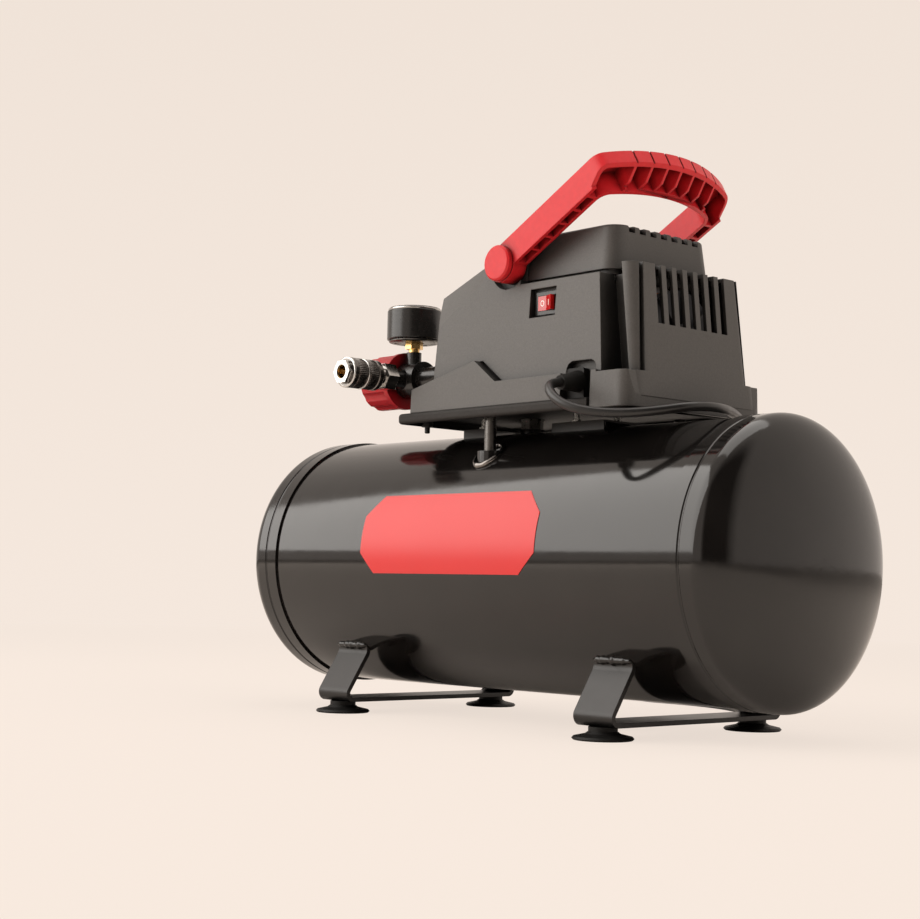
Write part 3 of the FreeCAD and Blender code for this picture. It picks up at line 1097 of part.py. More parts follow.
def motor():
    """The induction motor, its eccentric and its cooling fan on one shaft."""
    axis = (0, s.shaft_z)
    hole = s.shaft_radius + s.fit_gap

    def sleeve(name, low, high, outer, inner):
        return cut(name, rod(f"{name}_outer", "x", axis, low, high, outer),
                   rod(f"{name}_inner", "x", axis, low - 1, high + 1, inner))

    weight = overlap("weight", rod("weight_disc", "x", axis, s.eccentric_low, s.eccentric_high, s.weight_radius),
                     block("weight_half", (s.eccentric_low, s.eccentric_high), (-s.weight_radius, s.weight_radius),
                           (s.shaft_z - s.weight_radius, s.shaft_z - 3)))
    hub = rod("eccentric_hub", "x", axis, s.eccentric_low, s.eccentric_high, s.throw + s.crank_pin_radius + 2)
    keep(cut("eccentric", join("eccentric_solid", hub, weight),
             rod("eccentric_bore", "x", axis, s.eccentric_low - 1, s.eccentric_high + 1, hole)))
    keep(rod("motor_shaft", "x", axis, s.eccentric_low, s.fan_high, s.shaft_radius))
    front = s.frame_high - s.bearing_wide
    keep(group("motor_bearings",
               sleeve("bearing_front", front, s.frame_high, s.bearing_radius, s.shaft_radius + s.running_gap),
               sleeve("bearing_rear", s.bell_low, s.bell_high, s.bearing_radius, s.shaft_radius + s.running_gap)))
    foot = block("stator_foot", (s.stator_low, s.stator_high), (-s.stator_bore, s.stator_bore),
                 (s.tray_top + s.fit_gap, s.shaft_z - s.stator_bore))
    core = join("stator_solid", rod("stator_core", "x", axis, s.stator_low, s.stator_high, s.stator_radius), foot)
    keep(cut("motor_stator", core, rod("stator_hole", "x", axis, s.stator_low - 1, s.stator_high + 1, s.stator_bore)))
    keep(group("motor_windings",
               sleeve("winding_front", s.stator_low - s.winding_long, s.stator_low - s.fit_gap, s.winding_radius,
                      s.winding_bore),
               sleeve("winding_rear", s.stator_high + s.fit_gap, s.stator_high + s.winding_long, s.winding_radius,
                      s.winding_bore)))
    keep(sleeve("motor_rotor", s.stator_low - 2, s.stator_high + 2, s.rotor_radius, hole))
    bell = join("bell_solid", rod("bell_disc", "x", axis, s.bell_low, s.bell_high, s.winding_radius),
                block("bell_foot", (s.bell_low, s.bell_high), (-s.winding_bore, s.winding_bore),
                      (s.tray_top + s.fit_gap, s.shaft_z - s.bearing_radius - 2)))
    air_holes = on_circle("bell_air", s.head_bolt_count, (s.winding_radius + s.bearing_radius) / 2 + 1,
                          lambda label, y, z: rod(label, "x", (y, s.shaft_z + z), s.bell_low - 1, s.bell_high + 1, 6))
    keep(cut("motor_end_bell", bell, rod("bell_bearing_hole", "x", axis, s.bell_low - 1, s.bell_high + 1,
                                         s.bearing_radius + s.fit_gap), *air_holes))
    blades = []
    for number in range(int(s.blade_count.value)):
        blade = block(f"blade_{number}", (0, s.fan_high - s.fan_low), (-s.blade_thick / 2, s.blade_thick / 2),
                      (s.fan_hub - 2, s.fan_radius))
        turn = Rotation(Vector(1, 0, 0), 360 * number / s.blade_count.value)
        holder = doc.addObject("Part::Compound", f"blade_holder_{number}")
        holder.Links = [blade]
        holder.Placement = FreeCAD.Placement(Vector(), turn)
        blades.append(place(holder, s.fan_low, 0, s.shaft_z))
    ring_rim = sleeve("fan_rim", s.fan_low, s.fan_low + 2, s.fan_radius - 1, s.fan_hub - 1)
    fan_hub = rod("fan_hub_disc", "x", axis, s.fan_low, s.fan_high, s.fan_hub)
    keep(cut("cooling_fan", join("fan_solid", fan_hub, ring_rim, *blades),
             rod("fan_bore", "x", axis, s.fan_low - 1, s.fan_high + 1, hole)))


def air_path():
    """Check valve, manifold, pressure switch and the pipes between them."""
    across = (s.inlet_x, s.inlet_y)
    low = s.check_low + s.fit_gap
    keep(join("check_valve", hexagon("check_hexagon", "z", across, low, s.check_high - 6, s.check_radius),
              rod("check_neck", "z", across, s.check_high - 7, s.check_high, s.check_radius - 3),
              rod("check_thread", "z", across, s.check_low - s.bung_depth / 2, low + 1, s.bung_bore - s.clearance)))
    box = block("manifold_block", (s.manifold_left, s.manifold_right), (s.manifold_front, s.manifold_back),
                (s.manifold_low, s.manifold_high))
    keep(eased("manifold", box, 2.0, lambda edge: abs(runs(edge).z) > 0.9))
    lid = block("switch_box", (s.manifold_left + 2, s.manifold_right + 4), (s.manifold_front - 2, s.manifold_back + 4),
                (s.manifold_high + s.fit_gap, s.switch_box_high))
    keep(eased("pressure_switch", lid, 2.0, lambda edge: True))
    v = {name: getattr(s, name).value for name in SIZES}
    pipe_z = (v["manifold_low"] + v["manifold_high"]) / 2
    pipe_y = (v["manifold_front"] + v["manifold_back"]) / 2 - 6
    start = outlet_top.value - 8
    pipe = [Vector(v["outlet_x"], v["outlet_y"], start), Vector(v["outlet_x"], v["outlet_y"], v["tray_top"] + 8),
            Vector(v["outlet_x"], pipe_y, pipe_z), Vector(v["manifold_right"] + v["fit_gap"], pipe_y, pipe_z)]
    keep(shaped("outlet_pipe", tube(rounded_path(pipe, gentle), v["pipe_radius"], v["pipe_bore"])))
    head_z = v["cylinder_high"] + v["valve_thick"] + 3 * v["fit_gap"] + v["head_tall"] / 2
    side = v["head_radius"] + 10
    route = [Vector(v["pump_x"], v["head_radius"] + v["fit_gap"], head_z), Vector(v["pump_x"], side, head_z),
             Vector(v["pump_x"], side, v["cylinder_low"]), Vector(12, 30, v["check_high"] + 20),
             Vector(v["inlet_x"], v["inlet_y"], v["check_high"] + 18),
             Vector(v["inlet_x"], v["inlet_y"], v["check_high"] + v["fit_gap"])]
    keep(shaped("discharge_tube", tube(rounded_path(route, gentle), v["tube_radius"], v["tube_radius"] - 0.8)))


def gentle(run, turn):
    """The bend radius of a metal pipe."""
    return min(0.45 * run / math.tan(turn / 2), 12)


def regulator():
    """The regulator, its knob, the safety valve and the gauge."""
    axis = (s.line_y, s.line_z)
    body = join("regulator_body",
                rod("regulator_line", "x", axis, s.body_right - 1, s.manifold_left - s.fit_gap, s.line_radius),
                rod("regulator_barrel", "x", axis, s.body_left, s.body_right, s.body_radius),
                rod("regulator_bonnet", "x", axis, s.body_left - s.bonnet_long, s.body_left + 1, s.bonnet_radius - 1),
                rod("regulator_neck", "z", (s.gauge_x, s.line_y), s.line_z, s.neck_high, s.neck_radius),
                rod("regulator_port", "y", (s.coupler_x, s.line_z), s.coupler_neck_end, s.line_y, s.coupler_neck))
    keep(body)
    round_knob = eased("knob_round", rod("knob_rod", "x", axis, s.knob_left, s.knob_right, s.knob_radius), 1.6,
                       lambda edge: middle(edge).x < s.knob_left.value + 0.1)
    hollow = 6.0
    lobes = []
    for number in range(int(s.knob_lobes.value)):
        angle = Size(360 * number / s.knob_lobes.value, f"(360 * {number} / {s.knob_lobes.text})")
        reach = s.knob_radius + hollow - s.knob_lobe_depth
        lobes.append(rod(f"knob_lobe_{number}", "x", (s.line_y + reach * cosine(angle), s.line_z + reach * sine(angle)),
                         s.knob_left - 1, s.knob_right - 5, hollow))
    flange = rod("knob_flange_disc", "x", axis, s.knob_right - 4, s.knob_right, s.knob_flange)
    grip = join("knob_grip", cut("knob_lobed", round_knob, *lobes), flange)
    seat = rod("knob_seat", "x", axis, s.body_left - s.bonnet_long - s.clearance, s.knob_right + 1,
               s.bonnet_radius - 1 + s.running_gap)
    keep(cut("regulator_knob", grip, seat))
    valve_axis = (s.valve_x, s.line_z)
    start = s.line_y + s.line_radius + s.fit_gap
    end = start + s.valve_long
    keep(cut("safety_valve_body",
             join("valve_solid", hexagon("valve_hexagon", "y", valve_axis, start, start + 6, s.valve_hex),
                  rod("valve_can", "y", valve_axis, start + 5, end, s.valve_hex - 1.2)),
             rod("valve_bore", "y", valve_axis, end - 8, end + 1, s.pull_radius + s.running_gap)))
    ring_y = end + s.pull_travel + s.ring_radius
    keep(join("safety_valve_ring", ring("pull_ring", "z", (s.valve_x, ring_y), s.line_z, s.ring_radius, s.ring_wire),
              rod("pull_pin", "y", valve_axis, end - 8 + s.clearance, ring_y - s.ring_radius, s.pull_radius)))
    gauge()


def gauge():
    """The pressure gauge, facing up."""
    across = (s.gauge_x, s.line_y)
    stem_low = s.neck_high + s.fit_gap
    keep(join("gauge_stem", hexagon("gauge_hexagon", "z", across, stem_low + 2.5, s.gauge_low - 1.5, s.gauge_hex),
              rod("gauge_neck", "z", across, stem_low, s.gauge_low - s.fit_gap, s.gauge_hex - 2.5)))
    case = rod("case_outer", "z", across, s.gauge_low, s.gauge_high, s.gauge_radius)
    soft = eased("case_soft", case, 0.8, lambda edge: not runs(edge).Length)
    inner = s.gauge_radius - s.gauge_wall
    keep(cut("gauge_case", soft, rod("case_inner", "z", across, s.gauge_low + 2, s.gauge_high + 1, inner)))
    dial_top = s.dial_z + s.dial_thick
    arbor = 0.8
    keep(join("gauge_dial", rod("dial_disc", "z", across, s.dial_z, dial_top, inner - s.fit_gap),
              rod("dial_arbor", "z", across, dial_top - 0.2, s.needle_z + s.needle_thick + 0.4, arbor)))
    needle = join("needle_solid", rod("needle_hub", "z", (0, 0), 0, s.needle_thick, 2),
                  padded("needle_blade", "z", [(-s.needle_tail, -s.needle_wide), (0, -s.needle_wide),
                                               (s.needle_long, -s.needle_wide / 4), (s.needle_long, s.needle_wide / 4),
                                               (0, s.needle_wide), (-s.needle_tail, s.needle_wide)],
                         0, s.needle_thick))
    needle = keep(cut("gauge_needle", needle, rod("needle_hole", "z", (0, 0), -1, 2, arbor + s.running_gap)))
    needle.Placement = FreeCAD.Placement(Vector(), Rotation(Vector(0, 0, 1), 0))
    place(needle, s.gauge_x, s.line_y, s.needle_z)
    bind(needle, "Placement.Rotation.Angle", s.needle_rest)
    keep(rod("gauge_lens", "z", across, s.lens_top - s.lens_thick, s.lens_top, inner - s.fit_gap))


def coupler():
    """The quick coupler with its sliding sleeve."""
    axis = (s.coupler_x, s.line_z)
    start = s.coupler_neck_end - s.fit_gap
    lip_start = s.coupler_tip + s.coupler_lip_long
    body = join("coupler_solid", hexagon("coupler_hexagon", "y", axis, s.coupler_hex_end, start, s.coupler_hex),
                rod("coupler_tube_rod", "y", axis, s.coupler_tip, s.coupler_hex_end + 1, s.coupler_tube),
                hexagon("coupler_lip_hexagon", "y", axis, s.coupler_tip, lip_start, s.coupler_lip))
    keep(cut("coupler_body", body, rod("coupler_bore_rod", "y", axis, s.coupler_tip - 1, s.coupler_hex_end - 12,
                                       s.coupler_bore)))
    hole = s.coupler_tube + s.running_gap
    band = 4.0
    profile = [(hole, s.sleeve_front), (s.sleeve_band - 0.8, s.sleeve_front), (s.sleeve_band, s.sleeve_front + 0.8),
               (s.sleeve_band, s.sleeve_front + band), (s.sleeve_radius, s.sleeve_front + band + 0.6),
               (s.sleeve_radius, s.sleeve_back - band - 0.6), (s.sleeve_band, s.sleeve_back - band),
               (s.sleeve_band, s.sleeve_back - 0.8), (s.sleeve_band - 0.8, s.sleeve_back), (hole, s.sleeve_back)]
    keep(turned("coupler_sleeve", "y", axis, 0, profile))


# The lead's route from the tip of its boot to its coil: over the tank's shoulder, down behind it and along the floor.
CORD_ROUTE = [
    (89.0, -86.0, 218.2), (93.8, -92.2, 213.0), (102.4, -94.0, 206.0), (113.4, -91.2, 200.6), (126.4, -84.0, 197.7),
    (142.0, -73.6, 197.2), (156.0, -61.0, 199.0), (166.0, -46.5, 202.0), (169.5, -30.0, 203.4), (166.5, -13.5, 203.8),
    (159.5, 3.0, 203.9), (151.5, 19.0, 203.4), (145.0, 35.5, 199.3), (138.5, 52.0, 191.2), (132.5, 67.5, 178.8),
    (127.5, 80.5, 162.8), (124.0, 89.8, 144.0), (121.5, 95.0, 123.5), (119.8, 97.2, 102.0), (118.5, 98.0, 79.0),
    (117.5, 98.8, 56.0), (115.8, 100.2, 35.0), (112.0, 103.5, 17.5), (104.5, 110.5, 6.5), (93.5, 121.0, 3.2),
    (78.0, 134.5, 3.0), (60.0, 149.5, 3.0), (43.5, 166.0, 3.0), (28.0, 184.0, 3.0), (11.0, 200.5, 3.0),
    (-10.0, 213.0, 3.0), (-32.0, 221.0, 3.0), (-53.0, 225.0, 3.0), (-73.0, 226.2, 3.0), (-93.0, 226.0, 3.0),
]


def cord():
    """The mains lead: its tube, its stored coil, the coil's tie and the plug."""
    radius = s.cord_radius.value
    drop = math.radians(s.boot_drop.value)
    tip = Vector(s.boot_x.value, -s.boot_y.value - s.boot_long.value * math.cos(drop),
                 s.boot_z.value - s.boot_long.value * math.sin(drop))
    route = [tip] + [Vector(*point) for point in CORD_ROUTE]
    radii = []

    def free(run, turn):
        radii.append(0.45 * run / math.tan(turn / 2))
        return radii[-1]

    path = rounded_path(route, free)
    print("lead radii", [round(number, 1) for number in radii])
    print("lead length to the coil", round(sum(edge.Length for edge in path)))
    outer_turn = s.coil_mid.value + 2 * radius
    across = s.coil_y.value + outer_turn
    end = s.plug_x.value
    level = 3 * radius
    tail = [Part.LineSegment(Vector(s.coil_x.value, across, level), Vector(end, across, level)).toShape()]
    keep(shaped("cord_tube", Part.makeCompound([tube(path, radius), tube(tail, radius)])))
    wide = 3 * s.cord_radius
    centre = (s.coil_x, s.coil_y)
    keep(cut("cord_coil", rod("coil_outer", "z", centre, 0, 4 * s.cord_radius, s.coil_mid + wide),
             rod("coil_inner", "z", centre, -1, 4 * s.cord_radius + 1, s.coil_mid - wide)))
    low, high = s.coil_x - s.coil_mid - wide, s.coil_x - s.coil_mid + wide
    sides = (s.coil_y - s.tie_width / 2, s.coil_y + s.tie_width / 2)
    gap = s.tie_thick + s.clearance
    keep(cut("cord_tie", block("tie_outer", (low - gap, high + s.tie_slack + s.tie_thick), sides, (0, 4 * s.cord_radius + gap)),
             block("tie_inner", (low - s.clearance, high + s.tie_slack), (sides[0] - 1, sides[1] + 1),
                   (-1, 4 * s.cord_radius + s.clearance))))
    plug(across, level)


def plug(across, level):
    """A moulded three-pin plug lying on the floor."""
    x = s.plug_x
    body = eased("plug_body", block("plug_block", (x, x + s.plug_long), (across - s.plug_half, across + s.plug_half),
                                    (0.0, 2 * level)), 4.0, lambda edge: True)
    blades = [block(f"plug_blade_{side}", (x + s.plug_long - 2, x + s.plug_long + s.plug_pin),
                    (across + offset - 0.75, across + offset + 0.75), (level - 1.2, level + 5.2))
              for side, offset in (("near", -6.35), ("far", 6.35))]
    earth = rod("plug_earth", "x", (across, level - 5.5), x + s.plug_long - 2, x + s.plug_long + s.plug_pin + 2, 2.4)
    keep(join("power_plug", body, *blades, earth))


def check():
    """Stop before anything is written if an object failed."""
    for obj in doc.Objects:
        if {"Invalid", "Error"} & set(obj.State):
            raise RuntimeError(f"{obj.Name} failed: {obj.State}")
    for obj in subparts:
        if obj.Shape.isNull() or not obj.Shape.isValid():
            raise RuntimeError(f"{obj.Label} has no valid shape")


tank()
feet()
drain()
saddles()
tray()
shroud()
top_cover()
power_switch()
cord_exit()
handle()
pump()
motor()
air_path()
regulator()
coupler()
cord()
doc.recompute()
check()
os.makedirs("parts", exist_ok=True)
for subpart in subparts:
    subpart.Shape.exportStep(f"parts/{subpart.Label}.step")
print(len(subparts), "sub-parts written")
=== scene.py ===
"""The looks of the portable air compressor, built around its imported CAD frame.

Metres, in the frame's own axes: +X along the tank towards the motor end, +Y to the back and +Z up.
"""
import math
import random

import bmesh
import bpy
from mathutils import Matrix, Vector


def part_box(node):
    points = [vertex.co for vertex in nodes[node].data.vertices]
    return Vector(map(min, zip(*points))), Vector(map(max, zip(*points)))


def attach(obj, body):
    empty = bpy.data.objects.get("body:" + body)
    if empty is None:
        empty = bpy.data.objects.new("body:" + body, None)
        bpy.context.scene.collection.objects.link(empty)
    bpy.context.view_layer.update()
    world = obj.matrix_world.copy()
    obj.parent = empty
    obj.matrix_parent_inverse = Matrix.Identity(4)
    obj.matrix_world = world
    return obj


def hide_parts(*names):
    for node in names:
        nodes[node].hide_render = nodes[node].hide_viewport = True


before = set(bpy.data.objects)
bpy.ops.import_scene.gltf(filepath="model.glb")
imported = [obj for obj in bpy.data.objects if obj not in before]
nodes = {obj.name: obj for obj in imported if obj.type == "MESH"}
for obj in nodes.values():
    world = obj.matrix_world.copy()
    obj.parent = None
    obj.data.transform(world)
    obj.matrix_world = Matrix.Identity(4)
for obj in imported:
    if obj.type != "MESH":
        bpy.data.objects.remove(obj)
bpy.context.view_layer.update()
MM = 0.001

# Camera
CAMERA_PLACE = Vector((0.83816, -0.84575, 0.08951))
CAMERA_YAW = math.radians(47.565)
CAMERA_PITCH = math.radians(4.276)
CAMERA_ROLL = math.radians(1.227)
CAMERA_LENS = 67.29

# Colours, linear
PALE_NEAR = (0.910, 0.803, 0.722)
PALE_HIGH = (0.850, 0.750, 0.670)
LAMP_TINT = (1.0, 0.97, 0.93)

# The surroundings: the light of the world, the share of glow near and far on the floor, and the level lines
# towards and across the side that gloss shows dark, with how dark it is.
AIM = Vector((0, 0, 0.18))
WORLD_LIGHT = 0.42
BACKDROP_FADE = (0.0, 0.5)
GLOW_SHARES = (0.86, 1.0)
GLOW_FADE = (0.8, 2.5)
FLOOR_RADIUS = 60
DARK_TOWARDS = (0.87, -0.50, 0)
DARK_ACROSS = (0.50, 0.87, 0)
DARK_SHARE = 0.94
DARK_EDGE = (0.40, 0.58)
DARK_START = (0.2, 0.5)

# Finishes: the least roughness, the size of uneven gloss beside that of mottling, the share of a colour that
# is left in a corner as painted shade, the openness over which it comes back, and the samples of the shading
# nodes.
LEAST_ROUGHNESS = 0.02
GLOSS_PATCH = 0.6
CORNER_SHARE = 0.12
CORNER_FADE = (0.42, 0.92)
SHADING_SAMPLES = 4

# The lead's route from the tip of its boot to its coil, in millimetres.
CORD_ROUTE = [
    (89.0, -86.0, 218.2), (93.8, -92.2, 213.0), (102.4, -94.0, 206.0), (113.4, -91.2, 200.6),
    (126.4, -84.0, 197.7), (142.0, -73.6, 197.2), (156.0, -61.0, 199.0), (166.0, -46.5, 202.0),
    (169.5, -30.0, 203.4), (166.5, -13.5, 203.8), (159.5, 3.0, 203.9), (151.5, 19.0, 203.4),
    (145.0, 35.5, 199.3), (138.5, 52.0, 191.2), (132.5, 67.5, 178.8), (127.5, 80.5, 162.8),
    (124.0, 89.8, 144.0), (121.5, 95.0, 123.5), (119.8, 97.2, 102.0), (118.5, 98.0, 79.0),
    (117.5, 98.8, 56.0), (115.8, 100.2, 35.0), (112.0, 103.5, 17.5), (104.5, 110.5, 6.5),
    (93.5, 121.0, 3.2), (78.0, 134.5, 3.0), (60.0, 149.5, 3.0), (43.5, 166.0, 3.0),
    (28.0, 184.0, 3.0), (11.0, 200.5, 3.0), (-10.0, 213.0, 3.0), (-32.0, 221.0, 3.0),
    (-53.0, 225.0, 3.0), (-73.0, 226.2, 3.0), (-93.0, 226.0, 3.0),
]
CORD_START = (89.0, -77.141, 219.431)
CORD_RADIUS = 3.0
COIL_CENTRE = (-93.0, 265.0)
COIL_MIDDLE = 33.0
COIL_TURNS = 5.5
COIL_STEPS = 24

# The turns at which the lead starts to move in, up and out in its coil, and how much of a turn a move takes.
COIL_INWARD = (0.87, 1.87)
COIL_UP = 2.70
COIL_OUTWARD = (3.50, 4.50)
COIL_MOVE = 0.13

# The tail between coil and plug, in millimetres: its start past the coil's centre, the point before the plug
# and how far it goes in.
TAIL_START = 14
TAIL_BEFORE = 12
TAIL_INSIDE = 1

# The plug, in millimetres from its cord end: the relief's half width and half height, and how much narrower
# and lower than the whole plug its grip is.
PLUG_RELIEF = (
    (0, 3.4, 3.4), (0, 4.2, 4.2), (2, 4.4, 4.4), (2.3, 3.7, 3.7), (3.3, 3.8, 3.8), (3.6, 4.9, 4.8),
    (5.6, 5.1, 5.0), (5.9, 4.3, 4.2), (6.9, 4.4, 4.3), (7.2, 5.8, 5.4), (9, 8.2, 6.8), (12, 10.6, 8.2),
)
PLUG_GRIP = (
    (16, 0.9, 0.6), (21, 1.5, 0.9), (26, 0.6, 0.2), (29, 0, 0), (33, 0, 0), (33.8, 0.8, 0.8), (34, 1.6, 1.6),
)
PLUG_RELIEF_END = 7
RELIEF_POWER = 0.9
GRIP_POWER = 0.5
PLUG_STEPS = 48

# Its pins: how far along each section stands, and how much it is eased or its radius.
BLADE_SECTIONS = ((32, 0), (48.6, 0), (49.6, 0.5), (50, 1.0))
BLADE_OUTLINE = ((-1, -0.9), (-0.6, -1), (0.6, -1), (1, -0.9), (1, 0.9), (0.6, 1), (-0.6, 1), (-1, 0.9))
BLADE_ASIDE = 6.3
BLADE_RISE = 3
BLADE_HALF_THICK = 0.75
BLADE_HALF_TALL = 3.1
BLADE_THINNING = 0.25
EARTH_SECTIONS = ((32, 2.3), (50.2, 2.3), (51.4, 1.7), (52, 0.7))
EARTH_DROP = 5.5
EARTH_STEPS = 24

# The rocker's marks, in millimetres: place along X, half width, half height and, for a ring, its band.
ROCKER_MARKS = {"rocker_ring": (50.0, 1.75, 2.0, 0.55), "rocker_bar": (57.0, 0.42, 2.0, 0)}
ROCKER_MARK_LEVEL = 276.5
MARK_STEPS = 40
MARK_RISE = 0.06
MARK_DEPTH = 0.3
BAR_SQUARENESS = 2.6

# The gauge, in millimetres and degrees
CASE_LAP = 0.05
RIM_RADII = (18.42, 19.5)
RIM_RISE = 1.5
BACK_RADII = (6.9, 18.6)
BACK_DEPTH = 1.7
BACK_EASE = 0.5
SLOT_COUNT = 8
SLOT_START = 0.22
SLOT_LENGTH = 0.56
SLOT_STEPS = 8
SLOT_SIDES = 10
SLOT_RADIUS = 14.6
SLOT_HALF_WIDTH = 1.9
SLOT_HALF_DEPTH = 0.22
SLOT_PROUD = 0.02
DIAL_UNDER_NEEDLE = 0.85
SCALE_START = 225
SCALE_SWEEP = 270
SCALE_END = 10
TICKS = 50
TICK_OUTER = 16.4
TICK_HEIGHT = 0.06
LONG_TICK = (13.0, 0.22)
SHORT_TICK = (14.6, 0.11)
NUMBER_RADIUS = 10.6
NUMBER_SIZE = 3.6
NUMBER_THICK = 0.03
NUMBER_LIFT = 0.05

# The coupler, in millimetres: radii, and runs from the front of its sleeve or its body
SLEEVE_SEAT = 9.6
KNURL_RADIUS = 10.75
KNURL_RUNS = ((4.4, 12.4), (14.6, 22.8))
KNURL_TEETH = 48
KNURL_DEPTH = 0.42
KNURL_STEPS = 288
BAND_RADIUS = 11.0
BAND_RUNS = ((-0.15, 1.3), (13.0, 13.9))
LINING_RADII = (4.82, 5.02)
LINING_RUN = (1.2, 18)

# The welds, in millimetres: thickness is a bead's radius
STRAP_BEAD_THICK = 2.7
STRAP_BEAD_INSET = 0.5
STRAP_BEAD_OUT = 0.1
STRAP_BEAD_UP = 0.6
STRAP_EDGE = 1.0
BEAD_END_SHARE = 0.35
BEAD_TAPER = 6
BEAD_RIPPLE = 0.12
OUTLET_FOOT = (3.0, -55.0)
OUTLET_BEAD_RADIUS = 9.4
OUTLET_BEAD_THICK = 2.3
OUTLET_BEAD_LIFT = 0.3
OUTLET_BEAD_STEPS = 96
OUTLET_BEAD_SIDES = 12
SEAM_INSET = 1.2
SEAM_THICK = 2.1
BEAD_WAVER = 0.05


# Materials ----------------------------------------------------------------------------------------

def shader_of(name):
    """A new material and its main shader."""
    made = bpy.data.materials.new(name)
    made.use_nodes = True
    return made, made.node_tree.nodes, made.node_tree.links, made.node_tree.nodes["Principled BSDF"]


def noise(tree, links, place, size, detail=3.0, rough=0.55):
    """A noise texture whose blotches are about size metres wide."""
    made = tree.new("ShaderNodeTexNoise")
    made.inputs["Scale"].default_value = 1 / size
    made.inputs["Detail"].default_value = detail
    made.inputs["Roughness"].default_value = rough
    links.new(place, made.inputs["Vector"])
    return made.outputs["Fac"]


def spread(tree, links, source, low, high, start=0.3, end=0.7):
    """A value between low and high that follows a texture."""
    made = tree.new("ShaderNodeMapRange")
    made.inputs["From Min"].default_value = start
    made.inputs["From Max"].default_value = end
    made.inputs["To Min"].default_value = low
    made.inputs["To Max"].default_value = high
    links.new(source, made.inputs["Value"])
    return made.outputs["Result"]


def tint(tree, links, source, low, high):
    """A colour between two that follows a value from 0 to 1."""
    made = tree.new("ShaderNodeMix")
    made.data_type = "RGBA"
    links.new(source, made.inputs["Factor"])
    made.inputs["A"].default_value = (*low, 1)
    made.inputs["B"].default_value = (*high, 1)
    return made.outputs["Result"]


def bump(tree, links, height, depth, normal=None):
    """A bump of depth metres over another normal."""
    made = tree.new("ShaderNodeBump")
    made.inputs["Strength"].default_value = 1.0
    made.inputs["Distance"].default_value = depth
    links.new(height, made.inputs["Height"])
    if normal is not None:
        links.new(normal, made.inputs["Normal"])
    return made.outputs["Normal"]


def darker_corners(tree, links, tone, colour, reach):
    """A colour with painted shade where surfaces meet, darkening up to reach metres from them."""
    corners = tree.new("ShaderNodeAmbientOcclusion")
    corners.samples = SHADING_SAMPLES
    corners.inputs["Distance"].default_value = reach
    made = tree.new("ShaderNodeMix")
    made.data_type = "RGBA"
    links.new(spread(tree, links, corners.outputs["AO"], 0.0, 1.0, *CORNER_FADE), made.inputs["Factor"])
    made.inputs["A"].default_value = (*[channel * CORNER_SHARE for channel in colour], 1)
    links.new(tone, made.inputs["B"])
    return made.outputs["Result"]


def finish(name, colour, roughness, metallic=0.0, mottle=0.08, mottle_size=0.012, rough_play=0.05, grain=0.0,
           grain_size=0.0008, peel=0.0, peel_size=0.004, soften=0.0, bands=None, painted_shade_reach=0.0, **sockets):
    """A procedural finish: mottled colour, uneven gloss, grain, peel, soft edges, bands and painted shade in
    corners.

    Sizes and depths are in metres. bands holds a direction, a pitch and a depth.
    """
    made, tree, links, shader = shader_of(name)
    place = tree.new("ShaderNodeTexCoord").outputs["Object"]
    patches = spread(tree, links, noise(tree, links, place, mottle_size), 0, 1)
    low = [channel * (1 - mottle) for channel in colour]
    high = [min(1, channel * (1 + mottle)) for channel in colour]
    tone = tint(tree, links, patches, low, high)
    # Painted shade: the colour darkens towards corners and recesses, where shade falls.
    if painted_shade_reach:
        tone = darker_corners(tree, links, tone, colour, painted_shade_reach)
    links.new(tone, shader.inputs["Base Color"])
    smears = noise(tree, links, place, mottle_size * GLOSS_PATCH, 5)
    smoothest = max(LEAST_ROUGHNESS, roughness - rough_play)
    links.new(spread(tree, links, smears, smoothest, roughness + rough_play), shader.inputs["Roughness"])
    shader.inputs["Metallic"].default_value = metallic
    normal = None
    if soften:
        bevel = tree.new("ShaderNodeBevel")
        bevel.samples = SHADING_SAMPLES
        bevel.inputs["Radius"].default_value = soften
        normal = bevel.outputs["Normal"]
    if peel:
        normal = bump(tree, links, noise(tree, links, place, peel_size, 1), peel, normal)
    if grain:
        normal = bump(tree, links, noise(tree, links, place, grain_size, 2), grain, normal)
    if bands:
        axis, pitch, depth = bands
        wave = tree.new("ShaderNodeTexWave")
        wave.bands_direction = axis
        # At a scale of 1 the wave repeats every pi / 10 metres.
        wave.inputs["Scale"].default_value = math.pi / (10 * pitch)
        wave.inputs["Distortion"].default_value = 0.4
        links.new(place, wave.inputs["Vector"])
        normal = bump(tree, links, wave.outputs["Fac"], depth, normal)
    if normal is not None:
        links.new(normal, shader.inputs["Normal"])
    for socket, value in sockets.items():
        shader.inputs[socket.replace("_", " ").title().replace("Ior", "IOR")].default_value = value
    return made
